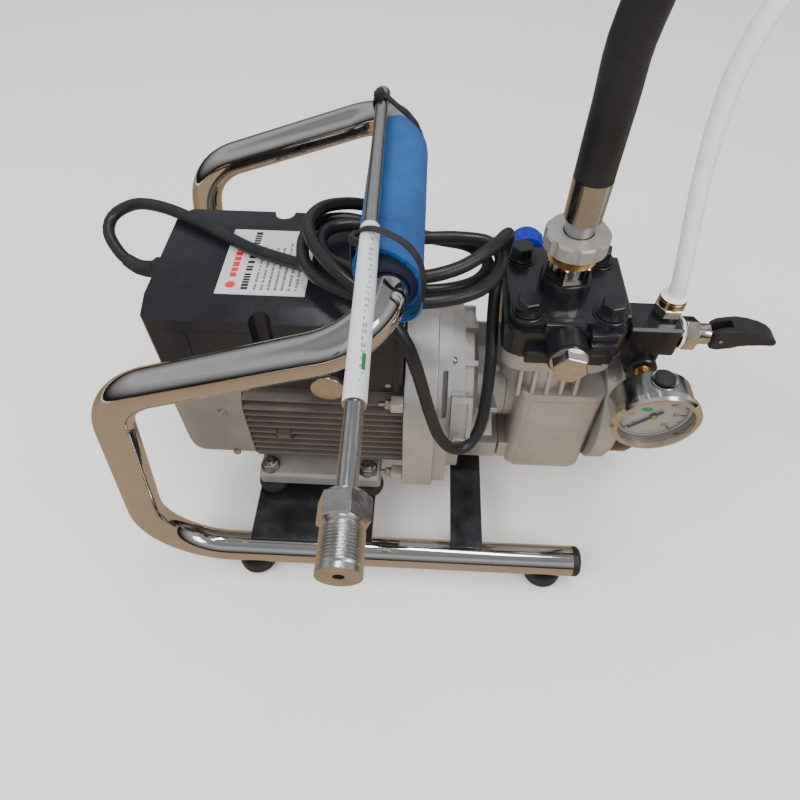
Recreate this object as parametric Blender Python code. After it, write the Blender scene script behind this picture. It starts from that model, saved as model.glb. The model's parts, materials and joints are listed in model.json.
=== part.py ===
"""Portable electric airless paint sprayer on a bent-tube skid frame.

Metres, +Z up.  +X runs along the motor shaft from the fan end to the pump,
+Y runs across the frame, the machine stands on four rubber feet at Z = 0.
Every physical piece is its own object, with small running gaps where two
pieces touch.
"""
import bpy
import bmesh
import math
from mathutils import Vector, Matrix

# ---------------------------------------------------------------- dimensions
SHIFT = Vector((-0.1129, 0.06785, 0.0))   # machine layout frame to the origin
GAP = 0.0003                          # running gap between touching pieces

TUBE_R = 0.014                        # frame tube outer radius
TUBE_WALL = 0.0018
RAIL_Y = 0.137                        # half spacing of the two rails
RAIL_Z = 0.030                        # rail axis height
RAIL_END_X = 0.2445
HANDLE_X, HANDLE_Z = 0.0715, 0.321    # crossbar axis
MOTOR_Z = 0.1295                      # shaft axis height
PUMP_X = 0.2070                       # vertical pump axis
PUMP_TOP = 0.2147                     # top face of the pump body
HEAD_TOP = 0.2500
BOLT_OFF = 0.0320                     # head bolt half spacing
VALVE_Y, VALVE_Z = -0.0275, 0.2205    # cam lever valve axis
GAUGE_X, GAUGE_Z = 0.2790, 0.1950
BOX_X0, BOX_X1 = -0.1170, 0.0810
BOX_Y0, BOX_Y1 = -0.0620, 0.0660
BOX_Z0, BOX_ZS, BOX_Z1 = 0.1800, 0.2440, 0.2620
LANCE_Z = 0.3460

for old in list(bpy.data.objects):
    bpy.data.objects.remove(old, do_unlink=True)


# ------------------------------------------------------------------- helpers
def material(name, rgb, metallic=0.0, rough=0.5):
    m = bpy.data.materials.new(name)
    m.use_nodes = True
    b = m.node_tree.nodes["Principled BSDF"]
    b.inputs["Base Color"].default_value = (rgb[0], rgb[1], rgb[2], 1.0)
    b.inputs["Metallic"].default_value = metallic
    b.inputs["Roughness"].default_value = rough
    return m


CHROME = ("chrome", (0.62, 0.61, 0.58), 1.0, 0.12)
STEEL = ("steel", (0.50, 0.50, 0.50), 1.0, 0.35)
DARKSTEEL = ("dark_steel", (0.16, 0.16, 0.17), 0.8, 0.3)
ALU = ("aluminium", (0.55, 0.53, 0.50), 0.9, 0.45)
MOTORALU = ("motor_grey", (0.24, 0.21, 0.19), 0.6, 0.45)
BLACK = ("black_paint", (0.015, 0.016, 0.020), 0.0, 0.35)
PLASTIC = ("black_plastic", (0.018, 0.019, 0.024), 0.0, 0.45)
RUBBER = ("rubber", (0.02, 0.02, 0.02), 0.0, 0.8)
BLUE = ("blue_fabric", (0.02, 0.20, 0.65), 0.0, 0.9)
BLUEPL = ("blue_plastic", (0.01, 0.04, 0.45), 0.0, 0.4)
WHITE = ("white_plastic", (0.80, 0.80, 0.80), 0.0, 0.4)
BRASS = ("brass", (0.75, 0.50, 0.18), 1.0, 0.3)
COPPER = ("copper", (0.70, 0.35, 0.18), 1.0, 0.4)
GLASS = ("glass", (0.85, 0.88, 0.88), 0.0, 0.1)
RED = ("red", (0.6, 0.03, 0.03), 0.0, 0.4)


def facets(seg):
    """Number of sides used for a round piece."""
    return max(10, int(seg * 0.45) // 2 * 2) if seg > 10 else seg


def new_object(name, bm, spec, smooth=True, angle=35.0, origin=None):
    """Write a bmesh to a named object with its own material."""
    bmesh.ops.recalc_face_normals(bm, faces=bm.faces[:])
    me = bpy.data.meshes.new(name)
    bm.to_mesh(me)
    bm.free()
    ob = bpy.data.objects.new(name, me)
    bpy.context.scene.collection.objects.link(ob)
    ob.data.materials.append(material(name + "_" + spec[0], *spec[1:]))
    finish(ob, smooth, angle)
    if origin is not None:
        o = Vector(origin)
        me.transform(Matrix.Translation(-o))
        ob.location = o
    return ob


def finish(ob, smooth=True, angle=35.0):
    me = ob.data
    for p in me.polygons:
        p.use_smooth = smooth
    if smooth:
        bm = bmesh.new()
        bm.from_mesh(me)
        lim = math.radians(angle)
        for e in bm.edges:
            if len(e.link_faces) == 2:
                a = e.link_faces[0].normal.angle(e.link_faces[1].normal, 0.0)
                e.smooth = a < lim
        bm.to_mesh(me)
        bm.free()


def bake(ob):
    """Replace the mesh by its modified result."""
    bpy.context.view_layer.update()
    dg = bpy.context.evaluated_depsgraph_get()
    me = bpy.data.meshes.new_from_object(ob.evaluated_get(dg))
    ob.modifiers.clear()
    old = ob.data
    ob.data = me
    me.name = ob.name
    if old.users == 0:
        bpy.data.meshes.remove(old)
    return ob


def boolean(ob, others, op="DIFFERENCE"):
    """Join or cut with the other objects, which are used up."""
    for o in others:
        m = ob.modifiers.new("b", "BOOLEAN")
        m.operation = op
        m.solver = "EXACT"
        m.object = o
        bake(ob)
        weld(ob)
        bpy.data.objects.remove(o, do_unlink=True)
    finish(ob)
    return ob


def weld(ob):
    """Close up slivers left by a cut."""
    bm = bmesh.new()
    bm.from_mesh(ob.data)
    bmesh.ops.remove_doubles(bm, verts=bm.verts[:], dist=0.00001)
    bmesh.ops.dissolve_degenerate(bm, edges=bm.edges[:], dist=0.000005)
    bad = sum(1 for e in bm.edges if len(e.link_faces) != 2)
    if bad:
        print("open or crowded edges:", ob.name, bad)
    bm.to_mesh(ob.data)
    bm.free()


def basis(axis):
    """Rotation taking +Z to the given axis."""
    a = Vector(axis).normalized()
    return Vector((0, 0, 1)).rotation_difference(a).to_matrix().to_4x4()


def turned(name, profile, at, axis, spec, seg=40, origin=None, closed=False, angle=35.0):
    """Solid of revolution.  profile = [(radius, height), ...] along the axis.

    An open profile has its ends on the axis (radius 0) or is capped flat;
    a closed one makes a ring."""
    seg = facets(seg)
    bm = bmesh.new()
    rings = []
    for r, h in profile:
        if r <= 1e-9:
            rings.append([bm.verts.new((0, 0, h))])
        else:
            rings.append([bm.verts.new((r * math.cos(2 * math.pi * i / seg),
                                        r * math.sin(2 * math.pi * i / seg), h))
                          for i in range(seg)])
    pairs = list(zip(rings[:-1], rings[1:]))
    if closed:
        pairs.append((rings[-1], rings[0]))
    for a, b in pairs:
        for i in range(seg):
            j = (i + 1) % seg
            if len(a) == 1 and len(b) == 1:
                continue
            if len(a) == 1:
                bm.faces.new((a[0], b[i], b[j]))
            elif len(b) == 1:
                bm.faces.new((a[i], a[j], b[0]))
            else:
                bm.faces.new((a[i], a[j], b[j], b[i]))
    if not closed:
        for ring in (rings[0], rings[-1]):
            if len(ring) > 1:
                bm.faces.new(ring)
    bm.transform(Matrix.Translation(Vector(at)) @ basis(axis))
    return new_object(name, bm, spec, origin=origin, angle=angle)


def cyl(name, r, at, axis, length, spec, seg=40, origin=None, ch=0.0):
    if ch > 0:
        prof = [(r - ch, 0), (r, ch), (r, length - ch), (r - ch, length)]
    else:
        prof = [(r, 0), (r, length)]
    return turned(name, prof, at, axis, spec, seg, origin)


def ring(name, ri, ro, at, axis, length, spec, seg=40, ch=0.0, origin=None):
    if ch > 0:
        prof = [(ri, 0), (ro - ch, 0), (ro, ch), (ro, length - ch), (ro - ch, length), (ri, length)]
    else:
        prof = [(ri, 0), (ro, 0), (ro, length), (ri, length)]
    return turned(name, prof, at, axis, spec, seg, origin, closed=True)


def block(name, lo, hi, spec, bevel=0.0, seg=1, origin=None):
    bm = bmesh.new()
    bmesh.ops.create_cube(bm, size=1.0)
    lo, hi = Vector(lo), Vector(hi)
    for v in bm.verts:
        v.co = Vector(((v.co.x + 0.5) * (hi.x - lo.x) + lo.x,
                       (v.co.y + 0.5) * (hi.y - lo.y) + lo.y,
                       (v.co.z + 0.5) * (hi.z - lo.z) + lo.z))
    if bevel > 0:
        bmesh.ops.bevel(bm, geom=bm.edges[:] + bm.verts[:], offset=bevel, segments=seg,
                        profile=0.5, affect='EDGES')
    return new_object(name, bm, spec, origin=origin)


def prism(name, outline, a, b, axis, spec, bevel=0.0, origin=None, angle=35.0):
    """Extrude a closed outline from a to b along X, Y or Z.

    X: outline is (y, z); Y: outline is (x, z); Z: outline is (x, y)."""
    bm = bmesh.new()

    def pt(p, t):
        if axis == "X":
            return (t, p[0], p[1])
        if axis == "Y":
            return (p[0], t, p[1])
        return (p[0], p[1], t)
    lo = [bm.verts.new(pt(p, a)) for p in outline]
    hi = [bm.verts.new(pt(p, b)) for p in outline]
    n = len(outline)
    caps = [bm.faces.new(lo), bm.faces.new(hi)]
    for i in range(n):
        j = (i + 1) % n
        bm.faces.new((lo[i], lo[j], hi[j], hi[i]))
    if bevel > 0:
        rim = [e for e in bm.edges if any(f in caps for f in e.link_faces)]
        bmesh.ops.bevel(bm, geom=rim, offset=bevel, segments=1, profile=0.5, affect='EDGES')
    return new_object(name, bm, spec, origin=origin, angle=angle)


def rounded_rect(x0, x1, y0, y1, r, n=3):
    pts = []
    for cx, cy, a0 in ((x1 - r, y1 - r, 0), (x0 + r, y1 - r, 90), (x0 + r, y0 + r, 180), (x1 - r, y0 + r, 270)):
        for i in range(n + 1):
            a = math.radians(a0 + 90.0 * i / n)
            pts.append((cx + r * math.cos(a), cy + r * math.sin(a)))
    return pts


def regular(cx, cy, af, n=6, rot=0.0):
    """Regular outline given across its flats."""
    r = af / 2 / math.cos(math.pi / n)
    return [(cx + r * math.cos(rot + 2 * math.pi * i / n), cy + r * math.sin(rot + 2 * math.pi * i / n))
            for i in range(n)]


def hexagon(name, af, at, axis, length, spec, ch=0.0008, rot=0.0, origin=None, n=6):
    """Hexagonal bar with both end rims chamfered."""
    bm = bmesh.new()
    pts = regular(0, 0, af, n, rot)
    lo = [bm.verts.new((x, y, 0)) for x, y in pts]
    hi = [bm.verts.new((x, y, length)) for x, y in pts]
    caps = [bm.faces.new(lo), bm.faces.new(hi)]
    for i in range(n):
        j = (i + 1) % n
        bm.faces.new((lo[i], lo[j], hi[j], hi[i]))
    rim = [e for e in bm.edges if any(f in caps for f in e.link_faces)]
    if ch > 0:
        bmesh.ops.bevel(bm, geom=rim, offset=ch, segments=1, profile=0.5, affect='EDGES')
    bm.transform(Matrix.Translation(Vector(at)) @ basis(axis))
    return new_object(name, bm, spec, origin=origin)


def fillet_path(points, radii, per=8):
    """Polyline with every inner corner rounded to its radius."""
    P = [Vector(p) for p in points]
    out = [P[0]]
    for k in range(1, len(P) - 1):
        a = (P[k - 1] - P[k]).normalized()
        b = (P[k + 1] - P[k]).normalized()
        ang = a.angle(b)
        r = radii[k - 1]
        t = r / math.tan(ang / 2)
        c = P[k] + (a + b).normalized() * (r / math.sin(ang / 2))
        u = (P[k] + a * t - c).normalized()
        w = (P[k] + b * t - c).normalized()
        sweep = u.angle(w)
        for i in range(per + 1):
            s = i / per
            d = (u * math.sin((1 - s) * sweep) + w * math.sin(s * sweep)) / math.sin(sweep)
            out.append(c + d * r)
    out.append(P[-1])
    return out


def sweep(name, path, r, spec, seg=20, r_in=None, origin=None):
    """Round bar or open-ended pipe along a path of points."""
    path = [Vector(p) for p in path]
    n = len(path)
    tans = []
    for i in range(n):
        a = path[i] - path[i - 1] if i else path[1] - path[0]
        b = path[i + 1] - path[i] if i < n - 1 else a
        tans.append((a.normalized() + b.normalized()).normalized())
    up = Vector((0, 0, 1)) if abs(tans[0].z) < 0.9 else Vector((1, 0, 0))
    nrm = tans[0].cross(up).normalized()
    bm = bmesh.new()
    outer, inner = [], []
    for i in range(n):
        if i:
            nrm = (nrm - tans[i] * nrm.dot(tans[i])).normalized()
        bi = tans[i].cross(nrm)
        co = 1.0
        if 0 < i < n - 1:
            co = 1.0 / max(0.7, math.cos((path[i] - path[i - 1]).angle(path[i + 1] - path[i]) / 2))
        for lst, rr in ((outer, r), (inner, r_in)):
            if rr is None:
                continue
            row = []
            for k in range(seg):
                a = 2 * math.pi * k / seg
                row.append(bm.verts.new(path[i] + nrm * rr * math.cos(a) + bi * rr * math.sin(a)))
            lst.append(row)
    for lst in ((outer, inner) if r_in else (outer,)):
        for a, b in zip(lst[:-1], lst[1:]):
            for k in range(seg):
                j = (k + 1) % seg
                bm.faces.new((a[k], a[j], b[j], b[k]))
    if r_in:
        for e in (0, -1):
            for k in range(seg):
                j = (k + 1) % seg
                bm.faces.new((outer[e][k], outer[e][j], inner[e][j], inner[e][k]))
    else:
        bm.faces.new(outer[0])
        bm.faces.new(outer[-1])
    return new_object(name, bm, spec, origin=origin)


def catmull(points, step):
    """Smooth curve through the points, sampled about every step."""
    P = [Vector(p) for p in points]
    P = [P[0] * 2 - P[1]] + P + [P[-1] * 2 - P[-2]]
    out = []
    for i in range(1, len(P) - 2):
        p0, p1, p2, p3 = P[i - 1], P[i], P[i + 1], P[i + 2]
        m = max(1, int(round((p2 - p1).length / step)))
        for k in range(m):
            t = k / m
            out.append(0.5 * ((2 * p1) + (p2 - p0) * t + (2 * p0 - 5 * p1 + 4 * p2 - p3) * t * t
                              + (3 * p1 - p0 - 3 * p2 + p3) * t ** 3))
    out.append(P[-2])
    return out


def cord(name, path, r, spec, res=2):
    """Flexible line as a bevelled curve with filled ends."""
    cu = bpy.data.curves.new(name, "CURVE")
    cu.dimensions = "3D"
    cu.bevel_depth = r
    cu.bevel_resolution = res
    cu.use_fill_caps = True
    sp = cu.splines.new("POLY")
    sp.points.add(len(path) - 1)
    for i, p in enumerate(path):
        sp.points[i].co = (p[0], p[1], p[2], 1.0)
    sp.use_smooth = True
    ob = bpy.data.objects.new(name, cu)
    bpy.context.scene.collection.objects.link(ob)
    cu.materials.append(material(name + "_" + spec[0], *spec[1:]))
    return ob


# --------------------------------------------------------------------- frame
def frame_half(sign, name):
    y = sign * RAIL_Y
    pts = [(RAIL_END_X, y, RAIL_Z), (-0.1498, y, RAIL_Z), (-0.1162, y, 0.2575),
           (HANDLE_X, y, HANDLE_Z), (HANDLE_X, sign * GAP / 2, HANDLE_Z)]
    return sweep(name, fillet_path(pts, (0.064, 0.058, 0.045), 5), TUBE_R, CHROME, 14, TUBE_R - TUBE_WALL)


near = frame_half(-1, "frame_tube_near")
far = frame_half(1, "frame_tube_far")

for tag, s in (("near", -1), ("far", 1)):
    # plug: flange closes the tube mouth, spigot sits inside it
    turned("rail_plug_" + tag,
           [(0.0, 0.0), (0.0085, 0.0), (TUBE_R - TUBE_WALL - GAP, 0.004), (TUBE_R - TUBE_WALL - GAP, 0.016),
            (TUBE_R, 0.016), (TUBE_R, 0.0205), (TUBE_R - 0.002, 0.0228), (0.0, 0.0228)],
           (RAIL_END_X - 0.016 + GAP, s * RAIL_Y, RAIL_Z), (1, 0, 0), PLASTIC, 24)

for tag, x, s in (("near_rear", -0.055, -1), ("near_front", 0.221, -1), ("far_rear", -0.055, 1), ("far_front", 0.221, 1)):
    foot = turned("foot_" + tag,
                  [(0.0, 0.0), (0.0120, 0.0), (0.0155, 0.0022), (0.0175, 0.0065), (0.0178, 0.0110),
                   (0.0160, 0.0180), (0.0, 0.0180)],
                  (x, s * RAIL_Y, 0.0), (0, 0, 1), RUBBER, 32)
    boolean(foot, [cyl("cut", TUBE_R + GAP, (x - 0.03, s * RAIL_Y, RAIL_Z), (1, 0, 0), 0.06, STEEL, 48)])

PLATE_Z0 = RAIL_Z + TUBE_R + GAP
PLATE_Z1 = PLATE_Z0 + 0.003
plate = block("base_plate", (-0.0568, -RAIL_Y, PLATE_Z0), (0.0568, RAIL_Y, PLATE_Z1), DARKSTEEL, 0.0005, 1)
strap = block("pump_strap", (0.130, -RAIL_Y, PLATE_Z0), (0.160, RAIL_Y, PLATE_Z1), DARKSTEEL, 0.0005, 1)

FOOT_Z0, FOOT_Z1 = 0.0620, 0.0790
MOUNTS = [("near_rear", -0.0430, -0.0770), ("near_front", 0.0500, -0.0770),
          ("far_rear", -0.0430, 0.0770), ("far_front", 0.0500, 0.0770)]
mfoot = block("motor_foot", (-0.0530, -0.0870, FOOT_Z0), (0.0620, 0.0870, FOOT_Z1), ALU, 0.0025, 1)
boolean(mfoot, [cyl("c", 0.0043, (x, y, FOOT_Z0 - 0.01), (0, 0, 1), 0.05, STEEL, 24) for _, x, y in MOUNTS])
boolean(plate, [cyl("c", 0.0043, (x, y, PLATE_Z0 - 0.01), (0, 0, 1), 0.03, STEEL, 24) for _, x, y in MOUNTS])
for tag, x, y in MOUNTS:
    # rubber buffer bonded to its threaded stud; hex nut drawn tight on the motor foot
    h = FOOT_Z0 - PLATE_Z1 - 2 * GAP
    z0 = PLATE_Z1 + GAP
    m = turned("motor_mount_" + tag,
               [(0.0, -0.0090), (0.0034, -0.0090), (0.0040, -0.0084), (0.0040, 0.0), (0.0118, 0.0), (0.0138, h * 0.25), (0.0145, h * 0.5),
                (0.0138, h * 0.75), (0.0118, h), (0.0040, h), (0.0040, h + 0.0172 + 2 * GAP), (0.0090, h + 0.0172 + 2 * GAP),
                (0.0090, h + 0.0188 + 2 * GAP), (0.0, h + 0.0188 + 2 * GAP)],
               (x, y, z0), (0, 0, 1), RUBBER, 28)
    boolean(m, [hexagon("u", 0.0130, (x, y, z0 + h + 0.0180), (0, 0, 1), 0.0074, STEEL),
                cyl("u", 0.0038, (x, y, z0 + h + 0.0180), (0, 0, 1), 0.0105, STEEL, 20)], "UNION")

# --------------------------------------------------------------------- motor
HX0, HX1 = -0.0550, 0.0820
HZ0, HZ1 = FOOT_Z1 + GAP, 0.1793
FIN_T, FIN_P, FIN_OUT, BODY_Y = 0.0028, 0.0083, 0.0735, 0.0590


def finned_outline():
    """Housing section: flat top and bottom, a comb of fins on both sides."""
    n = 11
    zc = (HZ0 + HZ1) / 2
    zs = [zc + (i - (n - 1) / 2) * FIN_P for i in range(n)]
    right = [(0.050, HZ0), (BODY_Y, HZ0 + 0.004)]
    for z in zs:
        w = FIN_OUT if abs(z - zc) < 0.036 else FIN_OUT - 0.0035
        right += [(BODY_Y, z - FIN_T / 2), (w, z - FIN_T / 2 + 0.0006), (w, z + FIN_T / 2 - 0.0006), (BODY_Y, z + FIN_T / 2)]
    right += [(BODY_Y, HZ1 - 0.004), (0.050, HZ1)]
    left = [(-y, z) for y, z in reversed(right)]
    return right + left


housing = prism("motor_housing", finned_outline(), HX0, HX1, "X", MOTORALU, angle=25)
boolean(housing, [cyl("c", 0.0460, (HX0 + 0.0085, 0, MOTOR_Z), (1, 0, 0), 0.160, STEEL, 48),
                  cyl("c", 0.0084, (HX0 - 0.01, 0, MOTOR_Z), (1, 0, 0), 0.050, STEEL, 40)])
# the wound stator is pressed into the bore
boolean(housing, [turned("u", [(0.0306, -0.028), (0.0440, -0.034), (0.0470, -0.028), (0.0470, 0.040), (0.0440, 0.046), (0.0306, 0.040)],
                         (0.0, 0.0, MOTOR_Z), (1, 0, 0), COPPER, 48, closed=True)], "UNION")

cowl = prism("fan_cowl", rounded_rect(-0.0725, 0.0725, HZ0 + 0.001, HZ1 - 0.0004, 0.022, 4), -0.1210, HX0 - GAP, "X", MOTORALU, 0.006)
hollow = prism("c", rounded_rect(-0.0685, 0.0685, HZ0 + 0.0050, HZ1 - 0.0044, 0.020, 4), -0.1175, HX0 + 0.02, "X", STEEL)
vents = []
for k in range(-4, 5):
    zz = MOTOR_Z + k * 0.0085
    half = math.sqrt(max(0.0, 0.040 ** 2 - (k * 0.0085) ** 2))
    if half > 0.01:
        vents.append(block("v", (-0.13, -half, zz - 0.0018), (-0.110, half, zz + 0.0018), STEEL))
boolean(cowl, [hollow] + vents)

# rotating set: shaft, rotor, fan, eccentric
SHAFT_O = (0.0, 0.0, MOTOR_Z)
turned("rotor_shaft",
       [(0.0, -0.1080), (0.0065, -0.1080), (0.0065, -0.0560), (0.0080, -0.0560), (0.0080, -0.0360), (0.0285, -0.0360), (0.0300, -0.0300),
        (0.0300, 0.0420), (0.0285, 0.0480), (0.0080, 0.0480), (0.0080, 0.1140), (0.0070, 0.1150), (0.0, 0.1150)],
       SHAFT_O, (1, 0, 0), STEEL, 36, origin=SHAFT_O)
fan = turned("cooling_fan", [(0.0068, -0.104), (0.0135, -0.104), (0.0150, -0.090), (0.0440, -0.0880), (0.0440, -0.0860), (0.0068, -0.0860)],
             SHAFT_O, (1, 0, 0), PLASTIC, 36, origin=SHAFT_O, closed=True)
blades = []
for k in range(7):
    b = block("b", (-0.1040, 0.0130, MOTOR_Z - 0.0010), (-0.0875, 0.0425, MOTOR_Z + 0.0010), PLASTIC)
    b.data.transform(Matrix.Translation(Vector(SHAFT_O)) @ Matrix.Rotation(2 * math.pi * k / 7, 4, 'X') @ Matrix.Translation(-Vector(SHAFT_O)))
    blades.append(b)
boolean(fan, blades, "UNION")

# ------------------------------------------------------- adapter and gearbox


def dee(R, half, zbot, rc, n=5):
    """Round top, straight sides and a rounded flat bottom, as (y, z)."""
    pts = []
    for i in range(2 * n + 1):
        a = math.pi * i / (2 * n)
        pts.append((R * math.cos(a) * (half / R), MOTOR_Z + R * math.sin(a)))
    for i in range(n + 1):
        a = math.radians(180 + 90 * i / n)
        pts.append((-half + rc + rc * math.cos(a), zbot + rc + rc * math.sin(a)))
    for i in range(n + 1):
        a = math.radians(270 + 90 * i / n)
        pts.append((half - rc + rc * math.cos(a), zbot + rc + rc * math.sin(a)))
    return pts


flange = prism("motor_front_flange", dee(0.083, 0.083, 0.0480, 0.026), HX1 + GAP, 0.1100, "X", ALU, 0.0025)
boolean(flange, [cyl("c", 0.0085, (HX1 - 0.01, 0, MOTOR_Z), (1, 0, 0), 0.06, STEEL, 40),
                 cyl("c", 0.0400, (0.094, 0, MOTOR_Z), (1, 0, 0), 0.03, STEEL, 40)])

gear = prism("gear_housing", dee(0.076, 0.078, 0.0500, 0.024), 0.1103, 0.1220, "X", ALU, 0.0015)
step1 = prism("u", dee(0.071, 0.072, 0.0680, 0.026), 0.1200, 0.1330, "X", ALU, 0.0015)
step2 = turned("u", [(0.0, 0.0), (0.066, 0.0), (0.066, 0.0100), (0.060, 0.0140), (0.0, 0.0140)], (0.1310, 0, MOTOR_Z), (1, 0, 0), ALU, 44)
tunnel = cyl("u", 0.0330, (0.1400, 0, MOTOR_Z), (1, 0, 0), 0.0335, ALU, 40)
ledge = prism("u", rounded_rect(0.1300, 0.1735, -0.0440, 0.0440, 0.004), 0.0620, 0.0850, "Z", ALU)
web = block("u", (0.1300, -0.0100, 0.0700), (0.1735, 0.0100, 0.1200), ALU)
boolean(gear, [step1, step2, tunnel, ledge, web], "UNION")
pockets = []
for s in (-1, 1):
    pk = block("p", (0.1142, -0.0205, 0.0640), (0.1187, 0.0205, 0.0900), STEEL)
    pk.data.transform(Matrix.Translation(Vector(SHAFT_O)) @ Matrix.Rotation(math.radians(52 * s), 4, 'X')
                      @ Matrix.Translation(Vector((0, 0, 0))))
    pockets.append(pk)
boolean(gear, [cyl("c", 0.0250, (0.1000, 0, MOTOR_Z), (1, 0, 0), 0.0900, STEEL, 40),
               cyl("c", 0.0550, (0.1000, 0, MOTOR_Z), (1, 0, 0), 0.0250, STEEL, 40)] + pockets)

# ---------------------------------------------------------------------- pump
BX0, BX1 = 0.1740, 0.2560
body = prism("pump_body", rounded_rect(0.1820, BX1, -0.0500, 0.0500, 0.010, 3), 0.0580, 0.1690, "Z", ALU, 0.002)
barrel = cyl("u", 0.0430, (PUMP_X - 0.002, 0, 0.1640), (0, 0, 1), 0.0410, ALU, 48)
shoulder = prism("u", rounded_rect(PUMP_X - 0.0455, PUMP_X + 0.0455, -0.0455, 0.0455, 0.015, 3), 0.1950, PUMP_TOP, "Z", ALU, 0.0015)
lug = block("u", (BX0, -0.0440, 0.0620), (0.1860, 0.0440, 0.0850), ALU, 0.001, 1)
hub = cyl("u", 0.0330, (BX0, 0, MOTOR_Z), (1, 0, 0), 0.0120, ALU, 40)
boolean(body, [barrel, shoulder, lug, hub], "UNION")
boolean(body, [cyl("c", 0.0360, (0.1920, 0, MOTOR_Z), (1, 0, 0), 0.0800, STEEL, 44),
               cyl("c", 0.0160, (0.1600, 0, MOTOR_Z), (1, 0, 0), 0.0400, STEEL, 32),
               cyl("c", 0.0180, (PUMP_X, 0, 0.1500), (0, 0, 1), 0.0800, STEEL, 36),
               cyl("c", 0.0262, (PUMP_X, 0, PUMP_TOP - 0.0040), (0, 0, 1), 0.0200, STEEL, 36)]
        + [cyl("c", 0.0046, (PUMP_X + sx * BOLT_OFF, sy * BOLT_OFF, 0.1960), (0, 0, 1), 0.0400, STEEL, 20)
           for sx in (-1, 1) for sy in (-1, 1)])
# hollow sleeve end slides over the motor shaft, eccentric lifts the piston
es = turned("eccentric_shaft",
            [(0.0, 0.1200), (0.0083, 0.1200), (0.0083, 0.0980), (0.0200, 0.0980), (0.0200, 0.1350), (0.0150, 0.1380), (0.0150, 0.1940),
             (0.0160, 0.1940), (0.0160, 0.2180), (0.0090, 0.2200), (0.0090, 0.2600), (0.0, 0.2600)],
            SHAFT_O, (1, 0, 0), STEEL, 32, origin=SHAFT_O)
eb = cyl("u", 0.0262, (0.1950, 0, MOTOR_Z + 0.0030), (1, 0, 0), 0.0220, STEEL, 40, ch=0.001)
boolean(es, [eb], "UNION")
# piston with the diaphragm clamped on its crown
turned("pump_piston",
       [(0.0, 0.0), (0.0140, 0.0), (0.0177, 0.0040), (0.0177, 0.0480), (0.0040, 0.0480), (0.0040, 0.0521), (0.0257, 0.0521), (0.0257, 0.0551), (0.0, 0.0551)],
       (PUMP_X, 0, MOTOR_Z + 0.0297), (0, 0, 1), STEEL, 36)
endf = turned("pump_end_flange",
              [(0.0, 0.0), (0.0620, 0.0), (0.0635, 0.0015), (0.0635, 0.0140), (0.0600, 0.0180), (0.0, 0.0180)],
              (BX1 + GAP, 0, 0.1180), (1, 0, 0), ALU, 56)
boolean(endf, [cyl("c", 0.0100, (0.2500, 0, MOTOR_Z), (1, 0, 0), 0.0150, STEEL, 32)])
cover = turned("end_cover",
               [(0.0, 0.0), (0.0480, 0.0), (0.0500, 0.0030), (0.0500, 0.0200), (0.0440, 0.0300), (0.0, 0.0300)],
               (0.2763, 0, 0.1050), (1, 0, 0), BLACK, 44)
boolean(cover, [block("c", (0.2900, -0.0600, 0.1120), (0.3200, 0.0600, 0.1600), STEEL),
                cyl("c", 0.0090, (0.3000, -0.0480, 0.0760), (1, 0, 0), 0.0200, STEEL, 28)])

head = prism("pump_head", rounded_rect(PUMP_X - 0.0480, PUMP_X + 0.0480, -0.0480, 0.0500, 0.014, 3), PUMP_TOP + GAP, 0.2420, "Z", BLACK, 0.0015)
top = prism("u", rounded_rect(PUMP_X - 0.0440, PUMP_X + 0.0440, -0.0430, 0.0460, 0.012, 3), 0.2400, HEAD_TOP, "Z", BLACK, 0.0015)
seat = turned("u", [(0.0, 0.0), (0.0205, 0.0), (0.0205, 0.0140), (0.0190, 0.0165), (0.0, 0.0165)], (PUMP_X, 0.0, 0.2460), (0, 0, 1), BLACK, 40)
boss = cyl("u", 0.0163, (PUMP_X - 0.0004, -0.0660, 0.2338), (0, 1, 0), 0.0510, BLACK, 44)
cheek = block("u", (0.2440, -0.0310, 0.2210), (0.2579, 0.0410, 0.2475), BLACK, 0.0015, 1)
wall = block("u", (0.1760, -0.0565, PUMP_TOP + 0.0017), (0.2380, -0.0350, 0.2292), BLACK, 0.0012, 1)
boolean(head, [top, seat, boss, cheek, wall], "UNION")
boolean(head, [cyl("c", 0.0120, (PUMP_X, 0, 0.2250), (0, 0, 1), 0.0600, STEEL, 32),
               cyl("c", 0.0121, (PUMP_X - 0.0004, -0.0800, 0.2338), (0, 1, 0), 0.0600, STEEL, 32),
               cyl("c", 0.0060, (0.2465, 0.0366, 0.2360), (0, 1, 0), 0.0400, STEEL, 28),
               cyl("c", 0.0060, (0.1830, 0.0300, 0.2400), (0, 1, 0), 0.0400, STEEL, 24)]
        + [cyl("c", 0.0048, (PUMP_X + sx * BOLT_OFF, sy * BOLT_OFF, 0.2000), (0, 0, 1), 0.1000, STEEL, 20)
           for sx in (-1, 1) for sy in (-1, 1)])
for tag, sx, sy in (("rear_near", -1, -1), ("front_near", 1, -1), ("rear_far", -1, 1), ("front_far", 1, 1)):
    x, y = PUMP_X + sx * BOLT_OFF, sy * BOLT_OFF
    b = turned("head_bolt_" + tag,
               [(0.0, -0.0520), (0.0038, -0.0520), (0.0043, -0.0510), (0.0043, 0.0), (0.0112, 0.0), (0.0112, 0.0022),
                (0.0095, 0.0022), (0.0095, 0.0040), (0.0, 0.0040)],
               (x, y, HEAD_TOP + GAP), (0, 0, 1), BLACK, 28)
    boolean(b, [hexagon("u", 0.0165, (x, y, HEAD_TOP + GAP + 0.0035), (0, 0, 1), 0.0090, BLACK, rot=0.3)], "UNION")

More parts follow.
